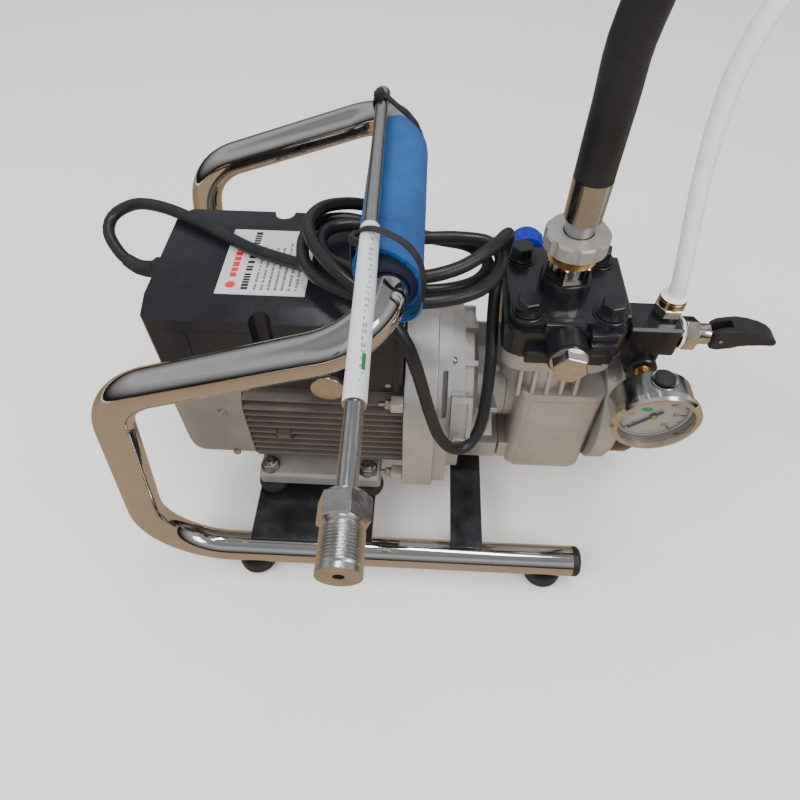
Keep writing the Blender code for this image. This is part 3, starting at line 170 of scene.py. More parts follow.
MAT = {
    "chrome": surface("chrome_polished", (0.66, 0.645, 0.62), 1.0, 0.055, 0.05, 30, 0.03, 60, (("noise", 500, 0.00001),)),
    "steel": surface("zinc_steel", (0.58, 0.57, 0.55), 1.0, 0.26, 0.12, 90, 0.08, 160, (("noise", 1500, 0.00003),)),
    "bright": surface("nickel_plate", (0.70, 0.66, 0.60), 1.0, 0.12, 0.08, 90, 0.05, 120, (("noise", 900, 0.00002),)),
    "brushed": surface("satin_stainless", (0.50, 0.50, 0.50), 1.0, 0.20, 0.08, 60, 0.05, 70, (("noise", 500, 0.000006),)),
    "plate": surface("polished_dark_plate", (0.085, 0.088, 0.095), 0.9, 0.20, 0.35, 40, 0.10, 60, (("noise", 700, 0.00003),),
                     speck=(900, (0.45, 0.45, 0.46), 0.72)),
    "cast": surface("cast_aluminium", (0.50, 0.485, 0.455), 0.72, 0.42, 0.10, 40, 0.07, 130,
                    (("noise", 1500, 0.00020), ("noise", 300, 0.00025)), speck=(2600, (0.66, 0.65, 0.63), 0.60)),
    "cast_warm": surface("cast_aluminium_blasted", (0.47, 0.43, 0.385), 0.62, 0.40, 0.12, 36, 0.07, 120,
                         (("noise", 1700, 0.00018), ("noise", 260, 0.00030)), speck=(3000, (0.56, 0.52, 0.48), 0.62)),
    "fins": surface("motor_paint", (0.150, 0.126, 0.110), 0.55, 0.40, 0.14, 50, 0.07, 110, (("noise", 1800, 0.00012),)),
    "cowl": surface("cowl_paint", (0.25, 0.22, 0.195), 0.45, 0.36, 0.10, 30, 0.06, 90, (("noise", 2600, 0.00008),)),
    "foot": surface("foot_paint", (0.33, 0.31, 0.29), 0.55, 0.42, 0.12, 50, 0.06, 110, (("noise", 1500, 0.00012),)),
    "black": surface("black_enamel", (0.010, 0.010, 0.012), 0.0, 0.24, 0.30, 60, 0.07, 90,
                     (("noise", 700, 0.00010), ("noise", 2200, 0.00004)), props={"Coat Weight": 0.35, "Coat Roughness": 0.12},
                     speck=(1500, (0.05, 0.05, 0.055), 0.73)),
    "box": surface("box_plastic", (0.011, 0.012, 0.015), 0.0, 0.25, 0.25, 25, 0.06, 40, (("noise", 2600, 0.00004), ("noise", 60, 0.00020)),
                   speck=(700, (0.10, 0.10, 0.10), 0.765)),
    "plastic": surface("black_plastic", (0.014, 0.014, 0.016), 0.0, 0.34, 0.2, 60, 0.06, 90, (("noise", 2200, 0.00008),)),
    "tie": surface("nylon_tie", (0.017, 0.017, 0.019), 0.0, 0.40, 0.2, 60, 0.06, 90, (("noise", 1600, 0.00006),)),
    "rubber": surface("black_rubber", (0.016, 0.016, 0.016), 0.0, 0.62, 0.25, 60, 0.10, 90, (("noise", 1500, 0.00016),)),
    "cable": surface("cable_sheath", (0.013, 0.013, 0.014), 0.0, 0.34, 0.25, 40, 0.07, 60, (("noise", 1300, 0.00008), ("noise", 120, 0.00025)),
                     speck=(500, (0.035, 0.034, 0.033), 0.66)),
    "hose": surface("rubber_hose", (0.012, 0.012, 0.013), 0.0, 0.42, 0.3, 30, 0.08, 60, (("noise", 900, 0.00018), ("wave_z", 420, 0.00006))),
    "white_hose": surface("white_hose", (0.74, 0.76, 0.77), 0.0, 0.30, 0.03, 30, 0.05, 60, (("noise", 700, 0.00006),),
                          props={"Subsurface Weight": 0.25, "Subsurface Scale": 0.004}),
    "white": surface("white_plastic", (0.80, 0.79, 0.77), 0.0, 0.34, 0.05, 60, 0.05, 60, (("noise", 900, 0.00005),)),
    "blue": surface("blue_plastic", (0.006, 0.020, 0.34), 0.0, 0.33, 0.15, 80, 0.06, 90, (("noise", 1500, 0.00008),)),
    "brass": surface("brass", (0.66, 0.43, 0.16), 1.0, 0.24, 0.15, 90, 0.08, 120, (("noise", 1200, 0.00004),)),
    "dial": surface("dial_face", (0.27, 0.235, 0.205), 0.0, 0.42, 0.04, 60, 0.05, 60, (("noise", 1500, 0.00002),)),
    "ink": surface("black_ink", (0.015, 0.015, 0.015), 0.0, 0.45, 0.2, 90, 0.05, 60, (("noise", 1500, 0.00001),)),
    "greyink": surface("grey_ink", (0.16, 0.15, 0.15), 0.0, 0.45, 0.2, 90, 0.05, 60, (("noise", 1500, 0.00001),)),
    "red": surface("red_ink", (0.55, 0.035, 0.02), 0.0, 0.40, 0.15, 90, 0.05, 60, (("noise", 1500, 0.00001),)),
    "green": surface("green_ink", (0.01, 0.16, 0.03), 0.0, 0.42, 0.15, 90, 0.05, 60, (("noise", 1500, 0.00001),)),
    "label": surface("silver_label", (0.66, 0.655, 0.64), 0.25, 0.30, 0.05, 60, 0.05, 50, (("noise", 500, 0.00003),)),
    "sleeve": surface("lance_sleeve", (0.66, 0.66, 0.68), 0.15, 0.30, 0.06, 70, 0.06, 60, (("noise", 300, 0.00010),)),
    "copper": surface("copper_winding", (0.60, 0.28, 0.14), 1.0, 0.35, 0.15, 60, 0.06, 60, (("noise", 1200, 0.00010),)),
    "spun": surface("spun_metal", (0.62, 0.55, 0.46), 1.0, 0.22, 0.10, 200, 0.08, 400, (("noise", 1500, 0.00003),)),
}
WEAVE = surface("blue_webbing", (0.001, 0.085, 0.29), 0.0, 0.62, 0.22, 26, 0.08, 60,
                (("wave_y", 620, 0.00035), ("wave_x", 900, 0.00016), ("noise", 1600, 0.00020)),
                props={"Sheen Weight": 0.04, "Sheen Roughness": 0.4}, tint=(0.001, 0.045, 0.19, 0.35))
MAT["webbing"] = WEAVE
MAT["webbing_in"] = surface("dark_lining", (0.008, 0.012, 0.035), 0.0, 0.85, 0.3, 60, 0.08, 60, (("noise", 1600, 0.0003),))


def clear_glass():
    m = bpy.data.materials.new("gauge_glass")
    m.use_nodes = True
    nt = m.node_tree
    b = nt.nodes["Principled BSDF"]
    n = nt.nodes.new("ShaderNodeTexNoise")
    n.inputs["Scale"].default_value = 90
    mr = nt.nodes.new("ShaderNodeMapRange")
    mr.inputs["To Min"].default_value = 0.02
    mr.inputs["To Max"].default_value = 0.10
    tc = nt.nodes.new("ShaderNodeTexCoord")
    nt.links.new(tc.outputs["Object"], n.inputs["Vector"])
    nt.links.new(n.outputs["Fac"], mr.inputs["Value"])
    nt.links.new(mr.outputs["Result"], b.inputs["Roughness"])
    b.inputs["Base Color"].default_value = (0.55, 0.53, 0.50, 1)
    b.inputs["Alpha"].default_value = 0.03
    b.inputs["Specular IOR Level"].default_value = 0.4
    return m


MAT["glass"] = clear_glass()

# which finish each piece wears
LOOK = {
    "frame_tube_near": "chrome", "frame_tube_far": "chrome", "rail_plug_near": "plastic", "rail_plug_far": "plastic",
    "foot_near_rear": "rubber", "foot_near_front": "rubber", "foot_far_rear": "rubber", "foot_far_front": "rubber",
    "base_plate": "plate", "pump_strap": "plate", "motor_foot": "foot",
    "motor_mount_near_rear": "rubber", "motor_mount_near_front": "rubber", "motor_mount_far_rear": "rubber", "motor_mount_far_front": "rubber",
    "motor_housing": "fins", "fan_cowl": "cowl", "rotor_shaft": "steel", "cooling_fan": "plastic", "motor_front_flange": "cast",
    "gear_housing": "cast", "eccentric_shaft": "steel", "pump_body": "cast_warm", "pump_piston": "steel", "pump_end_flange": "cast", "end_cover": "black",
    "pump_head": "black", "head_bolt_rear_near": "black", "head_bolt_front_near": "black", "head_bolt_rear_far": "black", "head_bolt_front_far": "black",
    "suction_valve_body": "bright", "suction_castle_nut": "cast", "suction_hose_end": "brushed", "outlet_nipple": "bright", "pressure_knob": "blue",
    "front_hex_plug": "bright", "valve_block": "black", "drain_valve_body": "bright", "drain_valve_stem": "brass", "drain_lever": "plastic",
    "return_fitting": "bright", "gauge_case": "brushed", "gauge_bezel": "bright", "gauge_lens": "glass", "gauge_needle": "ink", "gauge_fill_plug": "rubber",
    "control_box_base": "box", "control_box_lid": "box", "rating_label": "label", "switch_knob": "plastic", "cable_gland": "plastic",
    "handle_pad": "webbing", "lance_tube": "brushed", "lance_tip_fitting": "steel",
    "mains_cable": "cable", "mains_plug": "rubber", "suction_hose": "hose", "suction_strainer": "steel", "return_hose": "white_hose",
}
MADE = {}       # piece name -> (object, body or None, list of nodes it stands for)


# ------------------------------------------------------------------- helpers
def facets(seg):
    """Number of sides used for a round piece."""
    return max(20, int(seg * 1.7) // 2 * 2) if seg > 10 else seg


def look(ob, key):
    ob.data.materials.clear()
    ob.data.materials.append(MAT[key])
    return ob


def new_object(name, bm, spec, smooth=True, angle=35.0, origin=None):
    """Write a bmesh to a named object."""
    bmesh.ops.recalc_face_normals(bm, faces=bm.faces[:])
    me = bpy.data.meshes.new(name)
    bm.to_mesh(me)
    bm.free()
    ob = bpy.data.objects.new("v_" + name if name in CAD_NODES else name, me)
    bpy.context.scene.collection.objects.link(ob)
    if name in CAD_NODES:
        MADE[ob.name] = (ob, BODY_OF[name], [name])
        me.materials.append(MAT[LOOK[name]])
    else:
        me.materials.append(MAT[spec if isinstance(spec, str) and spec in MAT else "steel"])
    finish(ob, smooth, angle)
    return ob


def extra(name, ob, key, body="machine"):
    """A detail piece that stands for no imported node."""
    ob.name = name
    look(ob, key)
    MADE[ob.name] = (ob, body, [])
    return ob


def soften(ob, width=0.0006, seg=2, angle=38):
    """Broken edges, as on a cast or machined piece."""
    m = ob.modifiers.new("edge", "BEVEL")
    m.width = width
    m.segments = seg
    m.limit_method = "ANGLE"
    m.angle_limit = math.radians(angle)
    m.use_clamp_overlap = True
    m.harden_normals = False
    m.miter_outer = "MITER_ARC"
    return ob


def set_faces(ob, key, test):
    """Give the faces that pass the test a second finish; test gets centre and normal."""
    me = ob.data
    me.materials.append(MAT[key])
    k = len(me.materials) - 1
    for p in me.polygons:
        if test(p.center, p.normal):
            p.material_index = k
    return ob


CHROME = STEEL = DARKSTEEL = ALU = MOTORALU = BLACK = PLASTIC = RUBBER = BLUE = BLUEPL = WHITE = BRASS = COPPER = GLASS = RED = "steel"


def finish(ob, smooth=True, angle=35.0):
    me = ob.data
    for p in me.polygons:
        p.use_smooth = smooth
    if smooth:
        bm = bmesh.new()
        bm.from_mesh(me)
        lim = math.radians(angle)
        for e in bm.edges:
            if len(e.link_faces) == 2:
                a = e.link_faces[0].normal.angle(e.link_faces[1].normal, 0.0)
                e.smooth = a < lim
        bm.to_mesh(me)
        bm.free()


def bake(ob):
    """Replace the mesh by its modified result."""
    bpy.context.view_layer.update()
    dg = bpy.context.evaluated_depsgraph_get()
    me = bpy.data.meshes.new_from_object(ob.evaluated_get(dg))
    ob.modifiers.clear()
    old = ob.data
    ob.data = me
    me.name = ob.name
    if old.users == 0:
        bpy.data.meshes.remove(old)
    return ob


def boolean(ob, others, op="DIFFERENCE"):
    """Join or cut with the other objects, which are used up."""
    for o in others:
        m = ob.modifiers.new("b", "BOOLEAN")
        m.operation = op
        m.solver = "EXACT"
        m.object = o
        bake(ob)
        weld(ob)
        bpy.data.objects.remove(o, do_unlink=True)
    finish(ob)
    return ob


def weld(ob):
    """Close up slivers left by a cut."""
    bm = bmesh.new()
    bm.from_mesh(ob.data)
    bmesh.ops.remove_doubles(bm, verts=bm.verts[:], dist=0.00001)
    bmesh.ops.dissolve_degenerate(bm, edges=bm.edges[:], dist=0.000005)
    bad = sum(1 for e in bm.edges if len(e.link_faces) != 2)
    if bad:
        print("open or crowded edges:", ob.name, bad)
    bm.to_mesh(ob.data)
    bm.free()


def basis(axis):
    """Rotation taking +Z to the given axis."""
    a = Vector(axis).normalized()
    return Vector((0, 0, 1)).rotation_difference(a).to_matrix().to_4x4()


def turned(name, profile, at, axis, spec, seg=40, origin=None, closed=False, angle=35.0):
    """Solid of revolution.  profile = [(radius, height), ...] along the axis.

    An open profile has its ends on the axis (radius 0) or is capped flat;
    a closed one makes a ring."""
    seg = facets(seg)
    bm = bmesh.new()
    rings = []
    for r, h in profile:
        if r <= 1e-9:
            rings.append([bm.verts.new((0, 0, h))])
        else:
            rings.append([bm.verts.new((r * math.cos(2 * math.pi * i / seg),
                                        r * math.sin(2 * math.pi * i / seg), h))
                          for i in range(seg)])
    pairs = list(zip(rings[:-1], rings[1:]))
    if closed:
        pairs.append((rings[-1], rings[0]))
    for a, b in pairs:
        for i in range(seg):
            j = (i + 1) % seg
            if len(a) == 1 and len(b) == 1:
                continue
            if len(a) == 1:
                bm.faces.new((a[0], b[i], b[j]))
            elif len(b) == 1:
                bm.faces.new((a[i], a[j], b[0]))
            else:
                bm.faces.new((a[i], a[j], b[j], b[i]))
    if not closed:
        for ring in (rings[0], rings[-1]):
            if len(ring) > 1:
                bm.faces.new(ring)
    bm.transform(Matrix.Translation(Vector(at)) @ basis(axis))
    return new_object(name, bm, spec, origin=origin, angle=angle)


def cyl(name, r, at, axis, length, spec, seg=40, origin=None, ch=0.0):
    if ch > 0:
        prof = [(r - ch, 0), (r, ch), (r, length - ch), (r - ch, length)]
    else:
        prof = [(r, 0), (r, length)]
    return turned(name, prof, at, axis, spec, seg, origin)


def ring(name, ri, ro, at, axis, length, spec, seg=40, ch=0.0, origin=None):
    if ch > 0:
        prof = [(ri, 0), (ro - ch, 0), (ro, ch), (ro, length - ch), (ro - ch, length), (ri, length)]
    else:
        prof = [(ri, 0), (ro, 0), (ro, length), (ri, length)]
    return turned(name, prof, at, axis, spec, seg, origin, closed=True)


def block(name, lo, hi, spec, bevel=0.0, seg=1, origin=None):
    bm = bmesh.new()
    bmesh.ops.create_cube(bm, size=1.0)
    lo, hi = Vector(lo), Vector(hi)
    for v in bm.verts:
        v.co = Vector(((v.co.x + 0.5) * (hi.x - lo.x) + lo.x,
                       (v.co.y + 0.5) * (hi.y - lo.y) + lo.y,
                       (v.co.z + 0.5) * (hi.z - lo.z) + lo.z))
    if bevel > 0:
        bmesh.ops.bevel(bm, geom=bm.edges[:] + bm.verts[:], offset=bevel, segments=seg,
                        profile=0.5, affect='EDGES')
    return new_object(name, bm, spec, origin=origin)


def prism(name, outline, a, b, axis, spec, bevel=0.0, origin=None, angle=35.0):
    """Extrude a closed outline from a to b along X, Y or Z.

    X: outline is (y, z); Y: outline is (x, z); Z: outline is (x, y)."""
    bm = bmesh.new()

    def pt(p, t):
        if axis == "X":
            return (t, p[0], p[1])
        if axis == "Y":
            return (p[0], t, p[1])
        return (p[0], p[1], t)
    lo = [bm.verts.new(pt(p, a)) for p in outline]
    hi = [bm.verts.new(pt(p, b)) for p in outline]
    n = len(outline)
    caps = [bm.faces.new(lo), bm.faces.new(hi)]
    for i in range(n):
        j = (i + 1) % n
        bm.faces.new((lo[i], lo[j], hi[j], hi[i]))
    if bevel > 0:
        rim = [e for e in bm.edges if any(f in caps for f in e.link_faces)]
        bmesh.ops.bevel(bm, geom=rim, offset=bevel, segments=1, profile=0.5, affect='EDGES')
    return new_object(name, bm, spec, origin=origin, angle=angle)


def rounded_rect(x0, x1, y0, y1, r, n=8):
    pts = []
    for cx, cy, a0 in ((x1 - r, y1 - r, 0), (x0 + r, y1 - r, 90), (x0 + r, y0 + r, 180), (x1 - r, y0 + r, 270)):
        for i in range(n + 1):
            a = math.radians(a0 + 90.0 * i / n)
            pts.append((cx + r * math.cos(a), cy + r * math.sin(a)))
    return pts


def regular(cx, cy, af, n=6, rot=0.0):
    """Regular outline given across its flats."""
    r = af / 2 / math.cos(math.pi / n)
    return [(cx + r * math.cos(rot + 2 * math.pi * i / n), cy + r * math.sin(rot + 2 * math.pi * i / n))
            for i in range(n)]


def hexagon(name, af, at, axis, length, spec, ch=0.0008, rot=0.0, origin=None, n=6):
    """Hexagonal bar with both end rims chamfered."""
    bm = bmesh.new()
    pts = regular(0, 0, af, n, rot)
    lo = [bm.verts.new((x, y, 0)) for x, y in pts]
    hi = [bm.verts.new((x, y, length)) for x, y in pts]
    caps = [bm.faces.new(lo), bm.faces.new(hi)]
    for i in range(n):
        j = (i + 1) % n
        bm.faces.new((lo[i], lo[j], hi[j], hi[i]))
    rim = [e for e in bm.edges if any(f in caps for f in e.link_faces)]
    if ch > 0:
        bmesh.ops.bevel(bm, geom=rim, offset=ch, segments=1, profile=0.5, affect='EDGES')
    bm.transform(Matrix.Translation(Vector(at)) @ basis(axis))
    return new_object(name, bm, spec, origin=origin)


def fillet_path(points, radii, per=8):
    """Polyline with every inner corner rounded to its radius."""
    P = [Vector(p) for p in points]
    out = [P[0]]
    for k in range(1, len(P) - 1):
        a = (P[k - 1] - P[k]).normalized()
        b = (P[k + 1] - P[k]).normalized()
        ang = a.angle(b)
        r = radii[k - 1]
        t = r / math.tan(ang / 2)
        c = P[k] + (a + b).normalized() * (r / math.sin(ang / 2))
        u = (P[k] + a * t - c).normalized()
        w = (P[k] + b * t - c).normalized()
        sweep = u.angle(w)
        for i in range(per + 1):
            s = i / per
            d = (u * math.sin((1 - s) * sweep) + w * math.sin(s * sweep)) / math.sin(sweep)
            out.append(c + d * r)
    out.append(P[-1])
    return out


def sweep(name, path, r, spec, seg=20, r_in=None, origin=None):
    """Round bar or open-ended pipe along a path of points."""
    path = [Vector(p) for p in path]
    n = len(path)
    tans = []
    for i in range(n):
        a = path[i] - path[i - 1] if i else path[1] - path[0]
        b = path[i + 1] - path[i] if i < n - 1 else a
        tans.append((a.normalized() + b.normalized()).normalized())
    up = Vector((0, 0, 1)) if abs(tans[0].z) < 0.9 else Vector((1, 0, 0))
    nrm = tans[0].cross(up).normalized()
    bm = bmesh.new()
    outer, inner = [], []
    for i in range(n):
        if i:
            nrm = (nrm - tans[i] * nrm.dot(tans[i])).normalized()
        bi = tans[i].cross(nrm)
        co = 1.0
        if 0 < i < n - 1:
            co = 1.0 / max(0.7, math.cos((path[i] - path[i - 1]).angle(path[i + 1] - path[i]) / 2))
        for lst, rr in ((outer, r), (inner, r_in)):
            if rr is None:
                continue
            row = []
            for k in range(seg):
                a = 2 * math.pi * k / seg
                row.append(bm.verts.new(path[i] + nrm * rr * math.cos(a) + bi * rr * math.sin(a)))
            lst.append(row)
    for lst in ((outer, inner) if r_in else (outer,)):
        for a, b in zip(lst[:-1], lst[1:]):
            for k in range(seg):
                j = (k + 1) % seg
                bm.faces.new((a[k], a[j], b[j], b[k]))
    if r_in:
        for e in (0, -1):
            for k in range(seg):
                j = (k + 1) % seg
                bm.faces.new((outer[e][k], outer[e][j], inner[e][j], inner[e][k]))
    else:
        bm.faces.new(outer[0])
        bm.faces.new(outer[-1])
    return new_object(name, bm, spec, origin=origin)


def catmull(points, step):
    """Smooth curve through the points, sampled about every step."""
    P = [Vector(p) for p in points]
    P = [P[0] * 2 - P[1]] + P + [P[-1] * 2 - P[-2]]
    out = []
    for i in range(1, len(P) - 2):
        p0, p1, p2, p3 = P[i - 1], P[i], P[i + 1], P[i + 2]
        m = max(1, int(round((p2 - p1).length / step)))
        for k in range(m):
            t = k / m
            out.append(0.5 * ((2 * p1) + (p2 - p0) * t + (2 * p0 - 5 * p1 + 4 * p2 - p3) * t * t
                              + (3 * p1 - p0 - 3 * p2 + p3) * t ** 3))
    out.append(P[-2])
    return out




def round_end(ob, x, r):
    """Round over the rim of a prism at the end plane X = x."""
    bm = bmesh.new()
    bm.from_mesh(ob.data)
    rim = [e for e in bm.edges if all(abs(v.co.x - x) < 1e-6 for v in e.verts)]
    bmesh.ops.bevel(bm, geom=rim, offset=r, segments=8, profile=0.5, affect='EDGES')
    bm.to_mesh(ob.data)
    bm.free()
    finish(ob)


def sector(name, x0, x1, r0, r1, a0, a1, n=24, spec="cast"):
    """Arc-shaped rib about the motor axis, angles in degrees from +Y towards +Z."""
    pts = [(r1 * math.cos(math.radians(a0 + (a1 - a0) * i / n)), MOTOR_Z + r1 * math.sin(math.radians(a0 + (a1 - a0) * i / n))) for i in range(n + 1)]
    pts += [(r0 * math.cos(math.radians(a1 + (a0 - a1) * i / n)), MOTOR_Z + r0 * math.sin(math.radians(a1 + (a0 - a1) * i / n))) for i in range(n + 1)]
    return prism(name, pts, x0, x1, "X", spec)


def joined(name, obs):
    """One mesh from several closed solids."""
    bm = bmesh.new()
    for o in obs:
        me = o.data.copy()
        me.transform(o.matrix_world)
        bm.from_mesh(me)
        bpy.data.meshes.remove(me)
        bpy.data.objects.remove(o, do_unlink=True)
    me = bpy.data.meshes.new(name)
    bm.to_mesh(me)
    bm.free()
    ob = bpy.data.objects.new(name, me)
    bpy.context.scene.collection.objects.link(ob)
    me.materials.append(MAT["steel"])
    finish(ob)
    return ob


def screw(name, at, axis, r, h, key, hexed=True, body="machine"):
    """Screw head: flanged dome with a socket, or a hexagon on a washer."""
    if hexed:
        w = turned("w", [(0.0, 0.0), (r * 1.25, 0.0), (r * 1.25, h * 0.22), (0.0, h * 0.22)], at, axis, "steel", 24)
        h0 = hexagon("h", r * 1.9, Vector(at) + Vector(axis).normalized() * h * 0.2, axis, h * 0.8, "steel", ch=r * 0.12)
        ob = joined(name, [w, h0])
    else:
        ob = turned(name, [(0.0, h * 0.55), (r * 0.42, h * 0.55), (r * 0.42, h), (r * 0.72, h * 0.97), (r * 0.96, h * 0.70), (r, h * 0.35), (r, 0.0), (0.0, 0.0)], at, axis, "steel", 24)
    extra(name, ob, key, body)
    return ob


def tube_along(name, path, r, key, seg=20, body="machine", radii=None):
    """Closed tube with flat-capped ends along a path; radii may vary along it."""
    path = [Vector(p) for p in path]
    n = len(path)
    tans = []
    for i in range(n):
        a = path[i] - path[i - 1] if i else path[1] - path[0]
        b = path[i + 1] - path[i] if i < n - 1 else a
        tans.append((a.normalized() + b.normalized()).normalized())
    up = Vector((0, 0, 1)) if abs(tans[0].z) < 0.9 else Vector((1, 0, 0))
    nrm = tans[0].cross(up).normalized()
    bm = bmesh.new()
    rows = []
    for i in range(n):
        if i:
            nrm = (nrm - tans[i] * nrm.dot(tans[i])).normalized()
        bi = tans[i].cross(nrm)
        rr = radii[i] if radii else r
        rows.append([bm.verts.new(path[i] + nrm * rr * math.cos(2 * math.pi * k / seg) + bi * rr * math.sin(2 * math.pi * k / seg)) for k in range(seg)])
    for a, b in zip(rows[:-1], rows[1:]):
        for k in range(seg):
            j = (k + 1) % seg
            bm.faces.new((a[k], a[j], b[j], b[k]))
    bm.faces.new(rows[0])
    bm.faces.new(rows[-1])
    ob = new_object(name, bm, key)
    return extra(name, ob, key, body)


def strap_loop(name, loop, width, thick, axis, key, body="machine"):
    """Flat strap closed on itself: loop is a list of points, axis its width direction."""
    P = [Vector(p) for p in loop]
    w = Vector(axis).normalized() * width / 2
    n = len(P)
    c = sum(P, Vector()) / n
    bm = bmesh.new()
    rows = []
    for i in range(n):
        t = (P[(i + 1) % n] - P[i - 1]).normalized()
        o = t.cross(w).normalized()
        if o.dot(P[i] - c) < 0:
            o = -o
        rows.append([bm.verts.new(P[i] + s * w + o * q) for s, q in ((-1, 0), (1, 0), (1, thick), (-1, thick))])
    for i in range(n):
        a, b = rows[i], rows[(i + 1) % n]
        for k in range(4):
            j = (k + 1) % 4
            bm.faces.new((a[k], a[j], b[j], b[k]))
    ob = new_object(name, bm, key)
    extra(name, ob, key, body)
    return soften(ob, 0.0002, 2)


# --------------------------------------------------------------------- frame
def frame_half(sign, name):
    y = sign * RAIL_Y
    pts = [(RAIL_END_X, y, RAIL_Z), (-0.1498, y, RAIL_Z), (-0.1162, y, 0.2575),
           (HANDLE_X, y, HANDLE_Z), (HANDLE_X, sign * GAP / 2, HANDLE_Z)]
    return sweep(name, fillet_path(pts, (0.064, 0.058, 0.045), 24), TUBE_R, CHROME, 56, TUBE_R - TUBE_WALL)


near = frame_half(-1, "frame_tube_near")
far = frame_half(1, "frame_tube_far")

for tag, s in (("near", -1), ("far", 1)):
    # plug: flange closes the tube mouth, spigot sits inside it
    turned("rail_plug_" + tag,
           [(0.0, 0.0), (0.0085, 0.0), (TUBE_R - TUBE_WALL - GAP, 0.004), (TUBE_R - TUBE_WALL - GAP, 0.016),
            (TUBE_R, 0.016), (TUBE_R, 0.0205), (TUBE_R - 0.002, 0.0228), (0.0, 0.0228)],
           (RAIL_END_X - 0.016 + GAP, s * RAIL_Y, RAIL_Z), (1, 0, 0), PLASTIC, 24)

for tag, x, s in (("near_rear", -0.055, -1), ("near_front", 0.221, -1), ("far_rear", -0.055, 1), ("far_front", 0.221, 1)):
    foot = turned("foot_" + tag,
                  [(0.0, 0.0), (0.0120, 0.0), (0.0155, 0.0022), (0.0175, 0.0065), (0.0178, 0.0110),
                   (0.0160, 0.0180), (0.0, 0.0180)],
                  (x, s * RAIL_Y, 0.0), (0, 0, 1), RUBBER, 32)
    boolean(foot, [cyl("cut", TUBE_R + GAP, (x - 0.03, s * RAIL_Y, RAIL_Z), (1, 0, 0), 0.06, STEEL, 48)])

PLATE_Z0 = RAIL_Z + TUBE_R + GAP
PLATE_Z1 = PLATE_Z0 + 0.003
plate = block("base_plate", (-0.0568, -RAIL_Y, PLATE_Z0), (0.0568, RAIL_Y, PLATE_Z1), DARKSTEEL, 0.0005, 1)
strap = block("pump_strap", (0.130, -RAIL_Y, PLATE_Z0), (0.160, RAIL_Y, PLATE_Z1), DARKSTEEL, 0.0005, 1)

FOOT_Z0, FOOT_Z1 = 0.0620, 0.0790
MOUNTS = [("near_rear", -0.0430, -0.0770), ("near_front", 0.0500, -0.0770),
          ("far_rear", -0.0430, 0.0770), ("far_front", 0.0500, 0.0770)]
mfoot = block("motor_foot", (-0.0530, -0.0870, FOOT_Z0), (0.0620, 0.0870, FOOT_Z1), ALU, 0.0025, 1)
boolean(mfoot, [cyl("c", 0.0043, (x, y, FOOT_Z0 - 0.01), (0, 0, 1), 0.05, STEEL, 24) for _, x, y in MOUNTS])
boolean(plate, [cyl("c", 0.0043, (x, y, PLATE_Z0 - 0.01), (0, 0, 1), 0.03, STEEL, 24) for _, x, y in MOUNTS])
for tag, x, y in MOUNTS:
    # rubber buffer bonded to its threaded stud; hex nut drawn tight on the motor foot
    h = FOOT_Z0 - PLATE_Z1 - 2 * GAP
    z0 = PLATE_Z1 + GAP
    m = turned("motor_mount_" + tag,
               [(0.0, -0.0090), (0.0034, -0.0090), (0.0040, -0.0084), (0.0040, 0.0), (0.0118, 0.0), (0.0138, h * 0.25), (0.0145, h * 0.5),
                (0.0138, h * 0.75), (0.0118, h), (0.0040, h), (0.0040, h + 0.0172 + 2 * GAP), (0.0090, h + 0.0172 + 2 * GAP),
                (0.0090, h + 0.0188 + 2 * GAP), (0.0, h + 0.0188 + 2 * GAP)],
               (x, y, z0), (0, 0, 1), RUBBER, 28)
    boolean(m, [hexagon("u", 0.0130, (x, y, z0 + h + 0.0180), (0, 0, 1), 0.0074, STEEL),
                cyl("u", 0.0038, (x, y, z0 + h + 0.0180), (0, 0, 1), 0.0105, STEEL, 20)], "UNION")

# --------------------------------------------------------------------- motor
HX0, HX1 = -0.0550, 0.0820
HZ0, HZ1 = FOOT_Z1 + GAP, 0.1793
FIN_T, FIN_P, FIN_OUT, BODY_Y = 0.0028, 0.0083, 0.0735, 0.0590


def finned_outline():
    """Housing section: flat top and bottom, a comb of fins on both sides."""
    n = 11
    zc = (HZ0 + HZ1) / 2
    zs = [zc + (i - (n - 1) / 2) * FIN_P for i in range(n)]
    right = [(0.050, HZ0), (BODY_Y, HZ0 + 0.004)]
    for z in zs:
        w = FIN_OUT if abs(z - zc) < 0.036 else FIN_OUT - 0.0035
        right += [(BODY_Y - 0.0006, z - FIN_T / 2 - 0.0008), (BODY_Y + 0.0006, z - FIN_T / 2), (w - 0.0012, z - FIN_T / 2 + 0.0004), (w - 0.0003, z - FIN_T / 2 + 0.0009), (w, z),
                  (w - 0.0003, z + FIN_T / 2 - 0.0009), (w - 0.0012, z + FIN_T / 2 - 0.0004), (BODY_Y + 0.0006, z + FIN_T / 2), (BODY_Y - 0.0006, z + FIN_T / 2 + 0.0008)]
    right += [(BODY_Y, HZ1 - 0.004), (0.050, HZ1)]
    left = [(-y, z) for y, z in reversed(right)]
    return right + left


housing = prism("motor_housing", finned_outline(), HX0, HX1, "X", MOTORALU, angle=25)
boolean(housing, [cyl("c", 0.0460, (HX0 + 0.0085, 0, MOTOR_Z), (1, 0, 0), 0.160, STEEL, 48),
                  cyl("c", 0.0084, (HX0 - 0.01, 0, MOTOR_Z), (1, 0, 0), 0.050, STEEL, 40)])
# the wound stator is pressed into the bore
boolean(housing, [turned("u", [(0.0306, -0.028), (0.0440, -0.034), (0.0470, -0.028), (0.0470, 0.040), (0.0440, 0.046), (0.0306, 0.040)],
                         (0.0, 0.0, MOTOR_Z), (1, 0, 0), COPPER, 48, closed=True)], "UNION")

